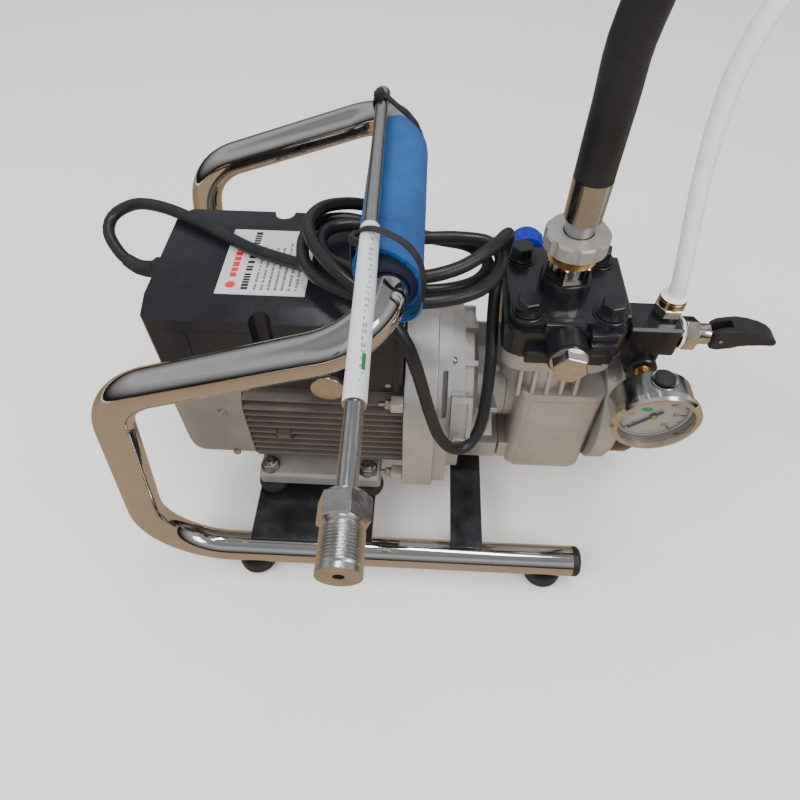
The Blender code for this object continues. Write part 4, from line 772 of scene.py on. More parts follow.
cowl = prism("fan_cowl", rounded_rect(-0.0725, 0.0725, HZ0 + 0.001, HZ1 - 0.0004, 0.022, 12), -0.1210, HX0 - GAP, "X", MOTORALU, 0.0)
round_end(cowl, -0.1210, 0.018)
hollow = prism("c", rounded_rect(-0.0675, 0.0675, HZ0 + 0.0060, HZ1 - 0.0054, 0.018, 8), -0.1175, HX0 + 0.02, "X", STEEL)
vents = []
for k in range(-4, 5):
    zz = MOTOR_Z + k * 0.0085
    half = math.sqrt(max(0.0, 0.040 ** 2 - (k * 0.0085) ** 2))
    if half > 0.01:
        vents.append(block("v", (-0.13, -half, zz - 0.0018), (-0.110, half, zz + 0.0018), STEEL))
boolean(cowl, [hollow] + vents)

# rotating set: shaft, rotor, fan, eccentric
SHAFT_O = (0.0, 0.0, MOTOR_Z)
turned("rotor_shaft",
       [(0.0, -0.1080), (0.0065, -0.1080), (0.0065, -0.0560), (0.0080, -0.0560), (0.0080, -0.0360), (0.0285, -0.0360), (0.0300, -0.0300),
        (0.0300, 0.0420), (0.0285, 0.0480), (0.0080, 0.0480), (0.0080, 0.1140), (0.0070, 0.1150), (0.0, 0.1150)],
       SHAFT_O, (1, 0, 0), STEEL, 36, origin=SHAFT_O)
fan = turned("cooling_fan", [(0.0068, -0.104), (0.0135, -0.104), (0.0150, -0.090), (0.0440, -0.0880), (0.0440, -0.0860), (0.0068, -0.0860)],
             SHAFT_O, (1, 0, 0), PLASTIC, 36, origin=SHAFT_O, closed=True)
blades = []
for k in range(7):
    b = block("b", (-0.1040, 0.0130, MOTOR_Z - 0.0010), (-0.0875, 0.0425, MOTOR_Z + 0.0010), PLASTIC)
    b.data.transform(Matrix.Translation(Vector(SHAFT_O)) @ Matrix.Rotation(2 * math.pi * k / 7, 4, 'X') @ Matrix.Translation(-Vector(SHAFT_O)))
    blades.append(b)
boolean(fan, blades, "UNION")

# ------------------------------------------------------- adapter and gearbox


def dee(R, half, zbot, rc, n=14):
    """Round top, straight sides and a rounded flat bottom, as (y, z)."""
    pts = []
    for i in range(2 * n + 1):
        a = math.pi * i / (2 * n)
        pts.append((R * math.cos(a) * (half / R), MOTOR_Z + R * math.sin(a)))
    for i in range(n + 1):
        a = math.radians(180 + 90 * i / n)
        pts.append((-half + rc + rc * math.cos(a), zbot + rc + rc * math.sin(a)))
    for i in range(n + 1):
        a = math.radians(270 + 90 * i / n)
        pts.append((half - rc + rc * math.cos(a), zbot + rc + rc * math.sin(a)))
    return pts


flange = prism("motor_front_flange", dee(0.083, 0.083, 0.0480, 0.026), HX1 + GAP, 0.1100, "X", ALU, 0.0025)
boolean(flange, [cyl("c", 0.0085, (HX1 - 0.01, 0, MOTOR_Z), (1, 0, 0), 0.06, STEEL, 40),
                 cyl("c", 0.0400, (0.094, 0, MOTOR_Z), (1, 0, 0), 0.03, STEEL, 40)])

gear = prism("gear_housing", dee(0.076, 0.078, 0.0500, 0.024), 0.1103, 0.1220, "X", ALU, 0.0015)
step1 = prism("u", dee(0.071, 0.072, 0.0680, 0.026), 0.1200, 0.1330, "X", ALU, 0.0015)
step2 = turned("u", [(0.0, 0.0), (0.066, 0.0), (0.066, 0.0100), (0.060, 0.0140), (0.0, 0.0140)], (0.1310, 0, MOTOR_Z), (1, 0, 0), ALU, 44)
tunnel = cyl("u", 0.0330, (0.1400, 0, MOTOR_Z), (1, 0, 0), 0.0335, ALU, 40)
ledge = prism("u", rounded_rect(0.1300, 0.1735, -0.0440, 0.0440, 0.004), 0.0620, 0.0850, "Z", ALU)
web = block("u", (0.1300, -0.0100, 0.0700), (0.1735, 0.0100, 0.1200), ALU)
boolean(gear, [step1, step2, tunnel, ledge, web], "UNION")
pockets = []
for s in (-1, 1):
    pk = block("p", (0.1142, -0.0205, 0.0640), (0.1187, 0.0205, 0.0900), STEEL)
    pk.data.transform(Matrix.Translation(Vector(SHAFT_O)) @ Matrix.Rotation(math.radians(52 * s), 4, 'X')
                      @ Matrix.Translation(Vector((0, 0, 0))))
    pockets.append(pk)
boolean(gear, [cyl("c", 0.0250, (0.1000, 0, MOTOR_Z), (1, 0, 0), 0.0900, STEEL, 40),
               cyl("c", 0.0550, (0.1000, 0, MOTOR_Z), (1, 0, 0), 0.0250, STEEL, 40)] + pockets)

# ---------------------------------------------------------------------- pump
BX0, BX1 = 0.1740, 0.2560
body = prism("pump_body", rounded_rect(0.1820, BX1, -0.0500, 0.0500, 0.010, 8), 0.0580, 0.1690, "Z", ALU, 0.002)
barrel = cyl("u", 0.0430, (PUMP_X - 0.002, 0, 0.1640), (0, 0, 1), 0.0410, ALU, 48)
shoulder = prism("u", rounded_rect(PUMP_X - 0.0455, PUMP_X + 0.0455, -0.0455, 0.0455, 0.015, 8), 0.1950, PUMP_TOP, "Z", ALU, 0.0015)
lug = block("u", (BX0, -0.0440, 0.0620), (0.1860, 0.0440, 0.0850), ALU, 0.001, 1)
hub = cyl("u", 0.0330, (BX0, 0, MOTOR_Z), (1, 0, 0), 0.0120, ALU, 40)
boolean(body, [barrel, shoulder, lug, hub], "UNION")
boolean(body, [cyl("c", 0.0360, (0.1920, 0, MOTOR_Z), (1, 0, 0), 0.0800, STEEL, 44),
               cyl("c", 0.0160, (0.1600, 0, MOTOR_Z), (1, 0, 0), 0.0400, STEEL, 32),
               cyl("c", 0.0180, (PUMP_X, 0, 0.1500), (0, 0, 1), 0.0800, STEEL, 36),
               cyl("c", 0.0262, (PUMP_X, 0, PUMP_TOP - 0.0040), (0, 0, 1), 0.0200, STEEL, 36)]
        + [cyl("c", 0.0046, (PUMP_X + sx * BOLT_OFF, sy * BOLT_OFF, 0.1960), (0, 0, 1), 0.0400, STEEL, 20)
           for sx in (-1, 1) for sy in (-1, 1)])
# hollow sleeve end slides over the motor shaft, eccentric lifts the piston
es = turned("eccentric_shaft",
            [(0.0, 0.1200), (0.0083, 0.1200), (0.0083, 0.0980), (0.0200, 0.0980), (0.0200, 0.1350), (0.0150, 0.1380), (0.0150, 0.1940),
             (0.0160, 0.1940), (0.0160, 0.2180), (0.0090, 0.2200), (0.0090, 0.2600), (0.0, 0.2600)],
            SHAFT_O, (1, 0, 0), STEEL, 32, origin=SHAFT_O)
eb = cyl("u", 0.0262, (0.1950, 0, MOTOR_Z + 0.0030), (1, 0, 0), 0.0220, STEEL, 40, ch=0.001)
boolean(es, [eb], "UNION")
# piston with the diaphragm clamped on its crown
turned("pump_piston",
       [(0.0, 0.0), (0.0140, 0.0), (0.0177, 0.0040), (0.0177, 0.0480), (0.0040, 0.0480), (0.0040, 0.0521), (0.0257, 0.0521), (0.0257, 0.0551), (0.0, 0.0551)],
       (PUMP_X, 0, MOTOR_Z + 0.0297), (0, 0, 1), STEEL, 36)
endf = turned("pump_end_flange",
              [(0.0, 0.0), (0.0620, 0.0), (0.0635, 0.0015), (0.0635, 0.0140), (0.0600, 0.0180), (0.0, 0.0180)],
              (BX1 + GAP, 0, 0.1180), (1, 0, 0), ALU, 56)
boolean(endf, [cyl("c", 0.0100, (0.2500, 0, MOTOR_Z), (1, 0, 0), 0.0150, STEEL, 32)])
cover = turned("end_cover",
               [(0.0, 0.0), (0.0480, 0.0), (0.0500, 0.0030), (0.0500, 0.0200), (0.0440, 0.0300), (0.0, 0.0300)],
               (0.2763, 0, 0.1050), (1, 0, 0), BLACK, 44)
boolean(cover, [block("c", (0.2900, -0.0600, 0.1120), (0.3200, 0.0600, 0.1600), STEEL),
                cyl("c", 0.0090, (0.3000, -0.0480, 0.0760), (1, 0, 0), 0.0200, STEEL, 28)])

head = prism("pump_head", rounded_rect(PUMP_X - 0.0480, PUMP_X + 0.0480, -0.0480, 0.0500, 0.014, 8), PUMP_TOP + GAP, 0.2420, "Z", BLACK, 0.0015)
top = prism("u", rounded_rect(PUMP_X - 0.0440, PUMP_X + 0.0440, -0.0430, 0.0460, 0.012, 8), 0.2400, HEAD_TOP, "Z", BLACK, 0.0015)
seat = turned("u", [(0.0, 0.0), (0.0205, 0.0), (0.0205, 0.0140), (0.0190, 0.0165), (0.0, 0.0165)], (PUMP_X, 0.0, 0.2460), (0, 0, 1), BLACK, 40)
boss = cyl("u", 0.0163, (PUMP_X - 0.0004, -0.0660, 0.2338), (0, 1, 0), 0.0510, BLACK, 44)
cheek = block("u", (0.2440, -0.0310, 0.2210), (0.2579, 0.0410, 0.2475), BLACK, 0.0015, 1)
wall = block("u", (0.1760, -0.0565, PUMP_TOP + 0.0017), (0.2380, -0.0350, 0.2292), BLACK, 0.0012, 1)
boolean(head, [top, seat, boss, cheek, wall], "UNION")
boolean(head, [cyl("c", 0.0120, (PUMP_X, 0, 0.2250), (0, 0, 1), 0.0600, STEEL, 32),
               cyl("c", 0.0121, (PUMP_X - 0.0004, -0.0800, 0.2338), (0, 1, 0), 0.0600, STEEL, 32),
               cyl("c", 0.0060, (0.2465, 0.0366, 0.2360), (0, 1, 0), 0.0400, STEEL, 28),
               cyl("c", 0.0060, (0.1830, 0.0300, 0.2400), (0, 1, 0), 0.0400, STEEL, 24)]
        + [cyl("c", 0.0048, (PUMP_X + sx * BOLT_OFF, sy * BOLT_OFF, 0.2000), (0, 0, 1), 0.1000, STEEL, 20)
           for sx in (-1, 1) for sy in (-1, 1)])
for tag, sx, sy in (("rear_near", -1, -1), ("front_near", 1, -1), ("rear_far", -1, 1), ("front_far", 1, 1)):
    x, y = PUMP_X + sx * BOLT_OFF, sy * BOLT_OFF
    b = turned("head_bolt_" + tag,
               [(0.0, -0.0520), (0.0038, -0.0520), (0.0043, -0.0510), (0.0043, 0.0), (0.0112, 0.0), (0.0112, 0.0022),
                (0.0095, 0.0022), (0.0095, 0.0040), (0.0, 0.0040)],
               (x, y, HEAD_TOP + GAP), (0, 0, 1), BLACK, 28)
    boolean(b, [hexagon("u", 0.0165, (x, y, HEAD_TOP + GAP + 0.0035), (0, 0, 1), 0.0090, BLACK, rot=0.3)], "UNION")

# suction side: valve body, castle nut, spigot with the hose crimped on
vb = turned("suction_valve_body", [(0.0, -0.0250), (0.0117, -0.0250), (0.0117, 0.0), (0.0160, 0.0), (0.0160, 0.0170), (0.0, 0.0170)],
            (PUMP_X, 0, 0.2628), (0, 0, 1), STEEL, 32)
boolean(vb, [hexagon("u", 0.0330, (PUMP_X, 0, 0.2628), (0, 0, 1), 0.0155, STEEL, rot=0.2),
             cyl("u", 0.0180, (PUMP_X, 0, 0.2700), (0, 0, 1), 0.0200, STEEL, 32)], "UNION")
boolean(vb, [cyl("c", 0.0070, (PUMP_X, 0, 0.2300), (0, 0, 1), 0.0700, STEEL, 24)])
nut = turned("suction_castle_nut", [(0.0183, 0.0), (0.0230, 0.0), (0.0245, 0.0012), (0.0245, 0.0118), (0.0232, 0.0135), (0.0116, 0.0135), (0.0116, 0.0072), (0.0183, 0.0072)],
             (PUMP_X, 0, 0.2885), (0, 0, 1), ALU, 48, origin=(PUMP_X, 0, 0.2885), closed=True)
boolean(nut, [block("c", (0.0225, -0.0035, 0.0), (0.03, 0.0035, 0.03), STEEL) for _ in range(0)] +
        [cyl("c", 0.0042, (PUMP_X + 0.0268 * math.cos(math.radians(20 + 40 * k)), 0.0268 * math.sin(math.radians(20 + 40 * k)), 0.2700),
             (0, 0, 1), 0.0400, STEEL, 20) for k in range(9)])
FERR_Z0, FERR_Z1 = 0.3116, 0.3460
turned("suction_hose_end",
       [(0.0070, 0.2904), (0.0150, 0.2904), (0.0150, 0.2953), (0.0110, 0.2953), (0.0110, FERR_Z0 + 0.001), (0.0125, FERR_Z0 + 0.001), (0.0138, FERR_Z0 + 0.0025),
        (0.0141, FERR_Z1), (0.0070, FERR_Z1)],
       (PUMP_X, 0, 0.0), (0, 0, 1), STEEL, 36, closed=True)

# outlet, pressure knob and front plug
op = turned("outlet_nipple", [(0.0, 0.0), (0.0057, 0.0), (0.0057, 0.0160), (0.0075, 0.0160), (0.0075, 0.0228), (0.0062, 0.0230), (0.0062, 0.0340), (0.0, 0.0340)],
            (0.2465, 0.0370, 0.2360), (0, 1, 0), STEEL, 28)
boolean(op, [hexagon("u", 0.0170, (0.2465, 0.0530, 0.2360), (0, 1, 0), 0.0070, STEEL)], "UNION")
boolean(op, [cyl("c", 0.0030, (0.2465, 0.0450, 0.2360), (0, 1, 0), 0.0500, STEEL, 16)])
PK = (0.1830, 0.0505, 0.2400)
pk = turned("pressure_knob", [(0.0, -0.0150), (0.0057, -0.0150), (0.0057, 0.0), (0.0100, 0.0), (0.0140, 0.0020), (0.0150, 0.0060), (0.0150, 0.0160), (0.0130, 0.0200), (0.0, 0.0210)],
            PK, (0, 1, 0), BLUEPL, 36, origin=PK)
boolean(pk, [cyl("c", 0.0016, (PK[0] + 0.0158 * math.cos(2 * math.pi * k / 8), PK[1] + 0.003, PK[2] + 0.0158 * math.sin(2 * math.pi * k / 8)),
                 (0, 1, 0), 0.030, STEEL, 10) for k in range(8)])
fp = turned("front_hex_plug", [(0.0, 0.0), (0.0145, 0.0), (0.0145, 0.0022), (0.0117, 0.0022), (0.0117, 0.0200), (0.0, 0.0200)],
            (PUMP_X - 0.0004, -0.0660 - GAP - 0.0022, 0.2338), (0, 1, 0), CHROME, 32)
boolean(fp, [hexagon("u", 0.0245, (PUMP_X - 0.0004, -0.0780, 0.2338), (0, 1, 0), 0.0100, CHROME, rot=0.25)], "UNION")

# ----------------------------------------------------------- side valve set
vbk = block("valve_block", (0.2583, -0.0345, 0.2070), (0.3010, -0.0020, 0.2370), BLACK, 0.002, 1)
down = block("u", (0.2680, -0.0340, 0.1830), (0.2900, -0.0060, 0.2100), BLACK, 0.0015, 1)
rboss = cyl("u", 0.0110, (0.2900, -0.0140, 0.2300), (0, 0, 1), 0.0090, BLACK, 28)
boolean(vbk, [down, rboss], "UNION")
boolean(vbk, [cyl("c", 0.0090, (0.2850, VALVE_Y + 0.006, VALVE_Z + 0.002), (1, 0, 0), 0.0300, STEEL, 28),
              cyl("c", 0.0053, (0.2900, -0.0140, 0.2200), (0, 0, 1), 0.0300, STEEL, 20),
              cyl("c", 0.0053, (GAUGE_X, -0.0400, GAUGE_Z), (0, 1, 0), 0.0300, STEEL, 20)])
VY, VZ = VALVE_Y + 0.006, VALVE_Z + 0.002
vh = turned("drain_valve_body",
            [(0.0035, 0.0), (0.0087, 0.0), (0.0087, 0.0155), (0.0125, 0.0155), (0.0125, 0.0180), (0.0105, 0.0180), (0.0105, 0.0300), (0.0085, 0.0330), (0.0085, 0.0400), (0.0035, 0.0400)],
            (0.2860, VY, VZ), (1, 0, 0), STEEL, 32, closed=True)
hx = hexagon("u", 0.0240, (0.3045, VY, VZ), (1, 0, 0), 0.0110, STEEL, rot=0.1)
boolean(hx, [cyl("c", 0.0050, (0.2900, VY, VZ), (1, 0, 0), 0.0500, STEEL, 20)])
boolean(vh, [hx], "UNION")
PIN = (0.3345, VY, VZ)
# stem: rod with an eye that the lever pin goes through
stem = turned("drain_valve_stem", [(0.0, 0.0), (0.0030, 0.0), (0.0032, 0.0004), (0.0032, 0.0537), (0.0, 0.0537)],
              (0.2853, VY, VZ), (1, 0, 0), STEEL, 24, origin=(0.2853, VY, VZ))
boolean(stem, [cyl("c", 0.0017, (PIN[0], VY - 0.01, VZ), (0, 1, 0), 0.02, STEEL, 16)])
lev = prism("drain_lever",
            [(0.3275, VZ - 0.0070), (0.3295, VZ - 0.0092), (0.3350, VZ - 0.0100), (0.3400, VZ - 0.0088), (0.3440, VZ - 0.0058), (0.3500, VZ - 0.0030), (0.3580, VZ - 0.0018),
             (0.3680, VZ - 0.0022), (0.3760, VZ - 0.0034), (0.3785, VZ - 0.0022), (0.3788, VZ + 0.0006), (0.3740, VZ + 0.0040), (0.3660, VZ + 0.0078), (0.3560, VZ + 0.0108),
             (0.3460, VZ + 0.0122), (0.3380, VZ + 0.0120), (0.3310, VZ + 0.0100), (0.3275, VZ + 0.0065)],
            VY - 0.0090, VY + 0.0090, "Y", BLACK, 0.0012, origin=PIN)
boolean(lev, [block("c", (0.3200, VY - 0.0040, VZ - 0.02), (0.3420, VY + 0.0040, VZ + 0.02), STEEL)])
boolean(lev, [cyl("u", 0.0014, (PIN[0], VY - 0.0093, VZ), (0, 1, 0), 0.0186, STEEL, 20)], "UNION")

rf = turned("return_fitting", [(0.0030, -0.0060), (0.0050, -0.0060), (0.0050, 0.0), (0.0104, 0.0), (0.0104, 0.0160), (0.0066, 0.0178), (0.0030, 0.0178)],
            (0.2900, -0.0140, 0.2393), (0, 0, 1), STEEL, 28, closed=True)
hx = hexagon("u", 0.0215, (0.2900, -0.0140, 0.2393), (0, 0, 1), 0.0085, STEEL)
boolean(hx, [cyl("c", 0.0060, (0.2900, -0.0140, 0.2300), (0, 0, 1), 0.04, STEEL, 20)])
boolean(rf, [hx], "UNION")

# ----------------------------------------------------------- pressure gauge
GY = -0.0960                       # front plane of the gauge
G = (GAUGE_X, GY, GAUGE_Z)
# case: cup with the dial plate inside and the threaded stem on its back
case = turned("gauge_case",
              [(0.0, 0.0640), (0.0050, 0.0640), (0.0052, 0.0300), (0.0300, 0.0300), (0.0315, 0.0285), (0.0315, 0.0040), (0.0300, 0.0040),
               (0.0300, 0.0115), (0.0022, 0.0115), (0.0022, 0.0200), (0.0, 0.0200)],
              G, (0, 1, 0), CHROME, 48)
boolean(case, [cyl("c", 0.0050, (GAUGE_X, GY + 0.0200, GAUGE_Z + 0.0250), (0, 0, 1), 0.0300, STEEL, 20)])
turned("gauge_bezel", [(0.0290, 0.0), (0.0320, 0.0), (0.0340, 0.0020), (0.0340, 0.0070), (0.0318, 0.0075), (0.0318, 0.0036), (0.0290, 0.0036)],
       G, (0, 1, 0), CHROME, 56, closed=True)
turned("gauge_lens", [(0.0, 0.0), (0.0296, 0.0), (0.0296, 0.0020), (0.0, 0.0020)], (GAUGE_X, GY + 0.0040, GAUGE_Z), (0, 1, 0), GLASS, 40)
ND = (GAUGE_X, GY + 0.0090, GAUGE_Z)
needle = turned("gauge_needle", [(0.0, -0.0012), (0.0030, -0.0012), (0.0030, 0.0008), (0.0012, 0.0008), (0.0012, 0.0070), (0.0, 0.0070)],
                ND, (0, 1, 0), BLACK, 20, origin=ND)
hand = prism("u", [(-0.0012, 0.0080), (0.0012, 0.0080), (0.0009, -0.0225), (-0.0009, -0.0225)], -0.0005, 0.0005, "Z", BLACK)
hand.data.transform(Matrix.Translation(Vector(ND)) @ Matrix.Rotation(math.radians(45), 4, 'Y') @ Matrix.Rotation(math.radians(90), 4, 'X'))
boolean(needle, [hand], "UNION")
gs = turned("gauge_fill_plug", [(0.0, 0.0), (0.0047, 0.0), (0.0047, 0.0030), (0.0078, 0.0036), (0.0078, 0.0058), (0.0060, 0.0075), (0.0, 0.0080)],
            (GAUGE_X, GY + 0.0200, GAUGE_Z + 0.0285), (0, 0, 1), RUBBER, 28)

# ------------------------------------------------------------- control box


def box_outline(inset):
    """Plan of the box, back left corner cut off, as (x, y)."""
    x0, x1, y0, y1 = BOX_X0 + inset, BOX_X1 - inset, BOX_Y0 + inset, BOX_Y1 - inset
    c = 0.010
    return [(x0 + 0.003, y0), (x1 - 0.003, y0), (x1, y0 + 0.003), (x1, y1 - 0.003), (x1 - 0.003, y1),
            (x0 + c, y1), (x0, y1 - c), (x0, y0 + 0.003)]


WELL_X = -0.0265


def wells(r, z0, z1):
    return [cyl("c", r, (WELL_X, BOX_Y0 + 0.0010, z0), (0, 0, 1), z1 - z0, STEEL, 28),
            cyl("c", r, (WELL_X, BOX_Y1 - 0.0010, z0), (0, 0, 1), z1 - z0, STEEL, 28)]


base = prism("control_box_base", box_outline(0.0), BOX_Z0, BOX_ZS - GAP, "Z", PLASTIC)
inner = prism("c", box_outline(0.0025), BOX_Z0 + 0.0025, BOX_ZS + 0.02, "Z", STEEL)
boolean(inner, wells(0.0112, BOX_Z0, BOX_ZS + 0.03))
boolean(base, [inner])
lidp = prism("control_box_lid", box_outline(0.0), BOX_ZS, BOX_Z1, "Z", PLASTIC)
wedge = prism("c", [(BOX_Y0 - 0.01, BOX_Z1 - 0.0120), (BOX_Y0, BOX_Z1 - 0.0075), (BOX_Y0 + 0.0200, BOX_Z1), (BOX_Y0 + 0.0200, BOX_Z1 + 0.02), (BOX_Y0 - 0.01, BOX_Z1 + 0.02)],
              BOX_X0 - 0.02, BOX_X1 + 0.02, "X", STEEL)
boolean(lidp, [wedge])
inner = prism("c", box_outline(0.0025), BOX_ZS - 0.01, BOX_Z1 - 0.0105, "Z", STEEL)
boolean(inner, wells(0.0112, BOX_ZS - 0.02, BOX_Z1))
boolean(lidp, [inner])
# screw wells open to the front and to the back
boolean(base, wells(0.0085, BOX_Z0 + 0.036, BOX_Z1))
boolean(lidp, wells(0.0085, BOX_ZS - 0.01, BOX_Z1 + 0.02))
KNOB = (0.0225, BOX_Y0, 0.2030)
GLAND = (BOX_X0, 0.0200, 0.2325)
boolean(base, [cyl("c", 0.0042, (KNOB[0], KNOB[1] - 0.01, KNOB[2]), (0, 1, 0), 0.02, STEEL, 24),
               cyl("c", 0.0085, (GLAND[0] - 0.01, GLAND[1], GLAND[2]), (1, 0, 0), 0.02, STEEL, 28)])
block("rating_label", (-0.0640, -0.0395, BOX_Z1 + GAP), (0.0050, 0.0390, BOX_Z1 + GAP + 0.0005), WHITE)
turned("switch_knob", [(0.0, -0.0195), (0.0110, -0.0195), (0.0136, -0.0188), (0.0136, -0.0180), (0.0150, -0.0165), (0.0150, -0.0030), (0.0160, -GAP), (0.0038, -GAP), (0.0038, 0.0100), (0.0, 0.0100)],
       KNOB, (0, 1, 0), PLASTIC, 40, origin=KNOB)
gl = turned("cable_gland", [(0.0054, -0.0200), (0.0080, -0.0200), (0.0105, -0.0165), (0.0105, -GAP), (0.0082, -GAP), (0.0082, 0.0100), (0.0054, 0.0100)],
            (GLAND[0], GLAND[1], GLAND[2]), (1, 0, 0), PLASTIC, 28, closed=True)

# ------------------------------------------------------------ handle and lance
ring("handle_pad", TUBE_R + GAP, 0.0205, (HANDLE_X, -0.0800, HANDLE_Z), (0, 1, 0), 0.1710, BLUE, 36, ch=0.003)
LA, LB = Vector((0.0560, 0.1080, LANCE_Z)), Vector((0.0640, -0.2632, LANCE_Z))
LD = (LB - LA).normalized()
LL = (LB - LA).length
turned("lance_tube", [(0.0032, 0.0), (0.0062, 0.0), (0.0062, 0.0100), (0.0050, 0.0104), (0.0050, 0.1730), (0.0062, 0.1734), (0.0062, 0.3116), (0.0050, 0.3120), (0.0050, LL), (0.0032, LL)],
       LA, LD, ALU, 24, closed=True)
ln = turned("lance_tip_fitting", [(0.0053, 0.0), (0.0100, 0.0), (0.0100, 0.0140), (0.0090, 0.0150), (0.0090, 0.0330), (0.0100, 0.0335), (0.0100, 0.0360), (0.0025, 0.0360), (0.0025, 0.0100), (0.0053, 0.0100)],
            LA + LD * ((LB - LA).length - 0.0095), LD, STEEL, 32, closed=True)
hx = hexagon("u", 0.0215, LA + LD * ((LB - LA).length - 0.0085), LD, 0.0120, STEEL, rot=0.25)
boolean(hx, [cyl("c", 0.0070, LA + LD * ((LB - LA).length - 0.02), LD, 0.04, STEEL, 20)])
boolean(ln, [hx], "UNION")

# ------------------------------------------------------------ fine details
V = lambda n: MADE["v_" + n][0]
for n in ("base_plate", "pump_strap"):
    soften(V(n), 0.0006, 2)
for n in ("motor_front_flange", "gear_housing", "pump_body", "pump_end_flange", "motor_foot"):
    soften(V(n), 0.0009, 3)
for n in ("pump_head", "valve_block", "end_cover", "drain_lever"):
    soften(V(n), 0.0009, 3)
for n in ("control_box_base", "control_box_lid"):
    soften(V(n), 0.0009, 3)
for n in ("motor_housing", "fan_cowl", "front_hex_plug", "drain_valve_body", "return_fitting", "suction_valve_body", "suction_castle_nut",
          "outlet_nipple", "lance_tip_fitting", "pressure_knob", "switch_knob"):
    soften(V(n), 0.0003, 2)
for n in ("head_bolt_rear_near", "head_bolt_front_near", "head_bolt_rear_far", "head_bolt_front_far"):
    soften(V(n), 0.0004, 2)

# rubber buffers keep their steel stud and nut
for tag, x, y in MOUNTS:
    set_faces(V("motor_mount_" + tag), "steel", lambda c, nn: c.z > FOOT_Z0 - 0.0001 or c.z < PLATE_Z1 - 0.0004)
set_faces(V("motor_housing"), "copper", lambda c, nn: math.hypot(c.y, c.z - MOTOR_Z) < 0.0472 and -0.040 < c.x < 0.060)
set_faces(V("switch_knob"), "spun", lambda c, nn: c.y < BOX_Y0 - 0.0178 and math.hypot(c.x - KNOB[0], c.z - KNOB[2]) < 0.0137)
set_faces(V("return_fitting"), "white", lambda c, nn: c.z > 0.2545)
set_faces(V("drain_lever"), "steel", lambda c, nn: abs(c.y - VY) > 0.00902 and math.hypot(c.x - PIN[0], c.z - PIN[2]) < 0.0016)
set_faces(V("gauge_case"), "brass", lambda c, nn: c.y > GY + 0.0301 and math.hypot(c.x - GAUGE_X, c.z - GAUGE_Z) < 0.0060)
set_faces(V("lance_tube"), "sleeve", lambda c, nn: (c - LA - LD * (c - LA).dot(LD)).length > 0.0060 and (c - LA).dot(LD) > 0.15)
set_faces(V("cooling_fan"), "plastic", lambda c, nn: True)

# fan cowl screws, casting pad on the fins
for s in (-1, 1):
    for k, (x, z) in enumerate(((-0.0737, 0.1559), (-0.0728, 0.0950))):
        screw("cowl_screw_%s%d" % ("n" if s < 0 else "f", k), (x, s * 0.0725, z), (0, s, 0), 0.0036, 0.0022, "steel", False)
    lump = block("u", (-0.0297, s * 0.0700, 0.1235), (-0.0180, s * 0.0745, 0.1300), "fins", 0.0012, 2)
    extra("casting_pad_" + ("n" if s < 0 else "f"), lump, "fins")
    # lugs that clamp the adapter flange to the motor
    for k, (y, z) in enumerate(((0.0690, 0.1725), (0.0760, 0.0760))):
        t = ("n" if s < 0 else "f") + str(k)
        lug = block("u", (0.0715, s * y - 0.0055, z - 0.0050), (0.0822, s * y + 0.0055, z + 0.0050), "cast_warm", 0.0010, 2)
        extra("motor_lug_" + t, lug, "cast_warm")
        screw("lug_bolt_" + t, (0.0715, s * y, z), (-1, 0, 0), 0.0040, 0.0050, "steel", True)
        extra("lug_stud_" + t, cyl("u", 0.0022, (0.0668, s * y, z), (-1, 0, 0), 0.0060, "steel", 16, ch=0.0005), "steel")

# raised panel and ribs round the gear casing
ribs = [sector("u", 0.1222, 0.1336, 0.0660, 0.0745, 140, 207), sector("u", 0.1222, 0.1336, 0.0660, 0.0745, -27, 40)]
ribs += [sector("u", 0.1222, 0.1400, 0.0730, 0.0800, 142, 176), sector("u", 0.1222, 0.1260, 0.0790, 0.0820, 142, 176), sector("u", 0.1362, 0.1400, 0.0790, 0.0820, 142, 176)]
ribs += [sector("u", 0.1222, 0.1400, 0.0790, 0.0820, 142, 146), sector("u", 0.1222, 0.1400, 0.0790, 0.0820, 172, 176)]
for a in (60, 90, 120):
    ribs.append(sector("u", 0.1222, 0.1440, 0.0600, 0.0700, a - 2.0, a + 2.0, 4))
pan = joined("gear_casing_ribs", ribs)
extra("gear_casing_ribs", pan, "cast")
soften(pan, 0.0008, 3)
web = joined("gear_casing_webs", [sector("u", 0.1440, 0.1640, 0.0320, 0.0560, a - 2.2, a + 2.2, 4) for a in (20, 60, 120, 160, 200, 340)])
extra("gear_casing_webs", web, "cast")
soften(web, 0.0008, 2)
for k, a in enumerate((28, 62, 118, 152, 208, 332)):
    a = math.radians(a)
    screw("gear_screw_%d" % k, (0.1220, 0.0700 * math.cos(a) * 1.03, MOTOR_Z + 0.0700 * math.sin(a)), (1, 0, 0), 0.0038, 0.0040, "steel", False)

# pump body: gussets under the shoulder, raised side panels, screws on the end flange
gus = []
for s in (-1, 1):
    for x in (0.1795, 0.1915, 0.2035, 0.2155, 0.2275):
        gus.append(prism("u", [(s * 0.0360, 0.1660), (s * 0.0492, 0.1660), (s * 0.0450, 0.1955), (s * 0.0360, 0.1955)], x - 0.0017, x + 0.0017, "X", "cast_warm"))
gus = joined("pump_gussets", gus)
extra("pump_gussets", gus, "cast_warm")
soften(gus, 0.0005, 2)
pans = joined("pump_side_panels", [block("u", (0.1920, -0.0507, 0.0640), (0.2500, -0.0490, 0.1600), "cast_warm", 0.0006, 2),
                                   block("u", (0.1920, 0.0490, 0.0640), (0.2500, 0.0507, 0.1600), "cast_warm", 0.0006, 2)])
extra("pump_side_panels", pans, "cast_warm")
for k in range(8):
    a = math.radians(22.5 + 45 * k)
    screw("end_screw_%d" % k, (0.2743, 0.0560 * math.cos(a), 0.1180 + 0.0560 * math.sin(a)), (1, 0, 0), 0.0032, 0.0024, "black", False)

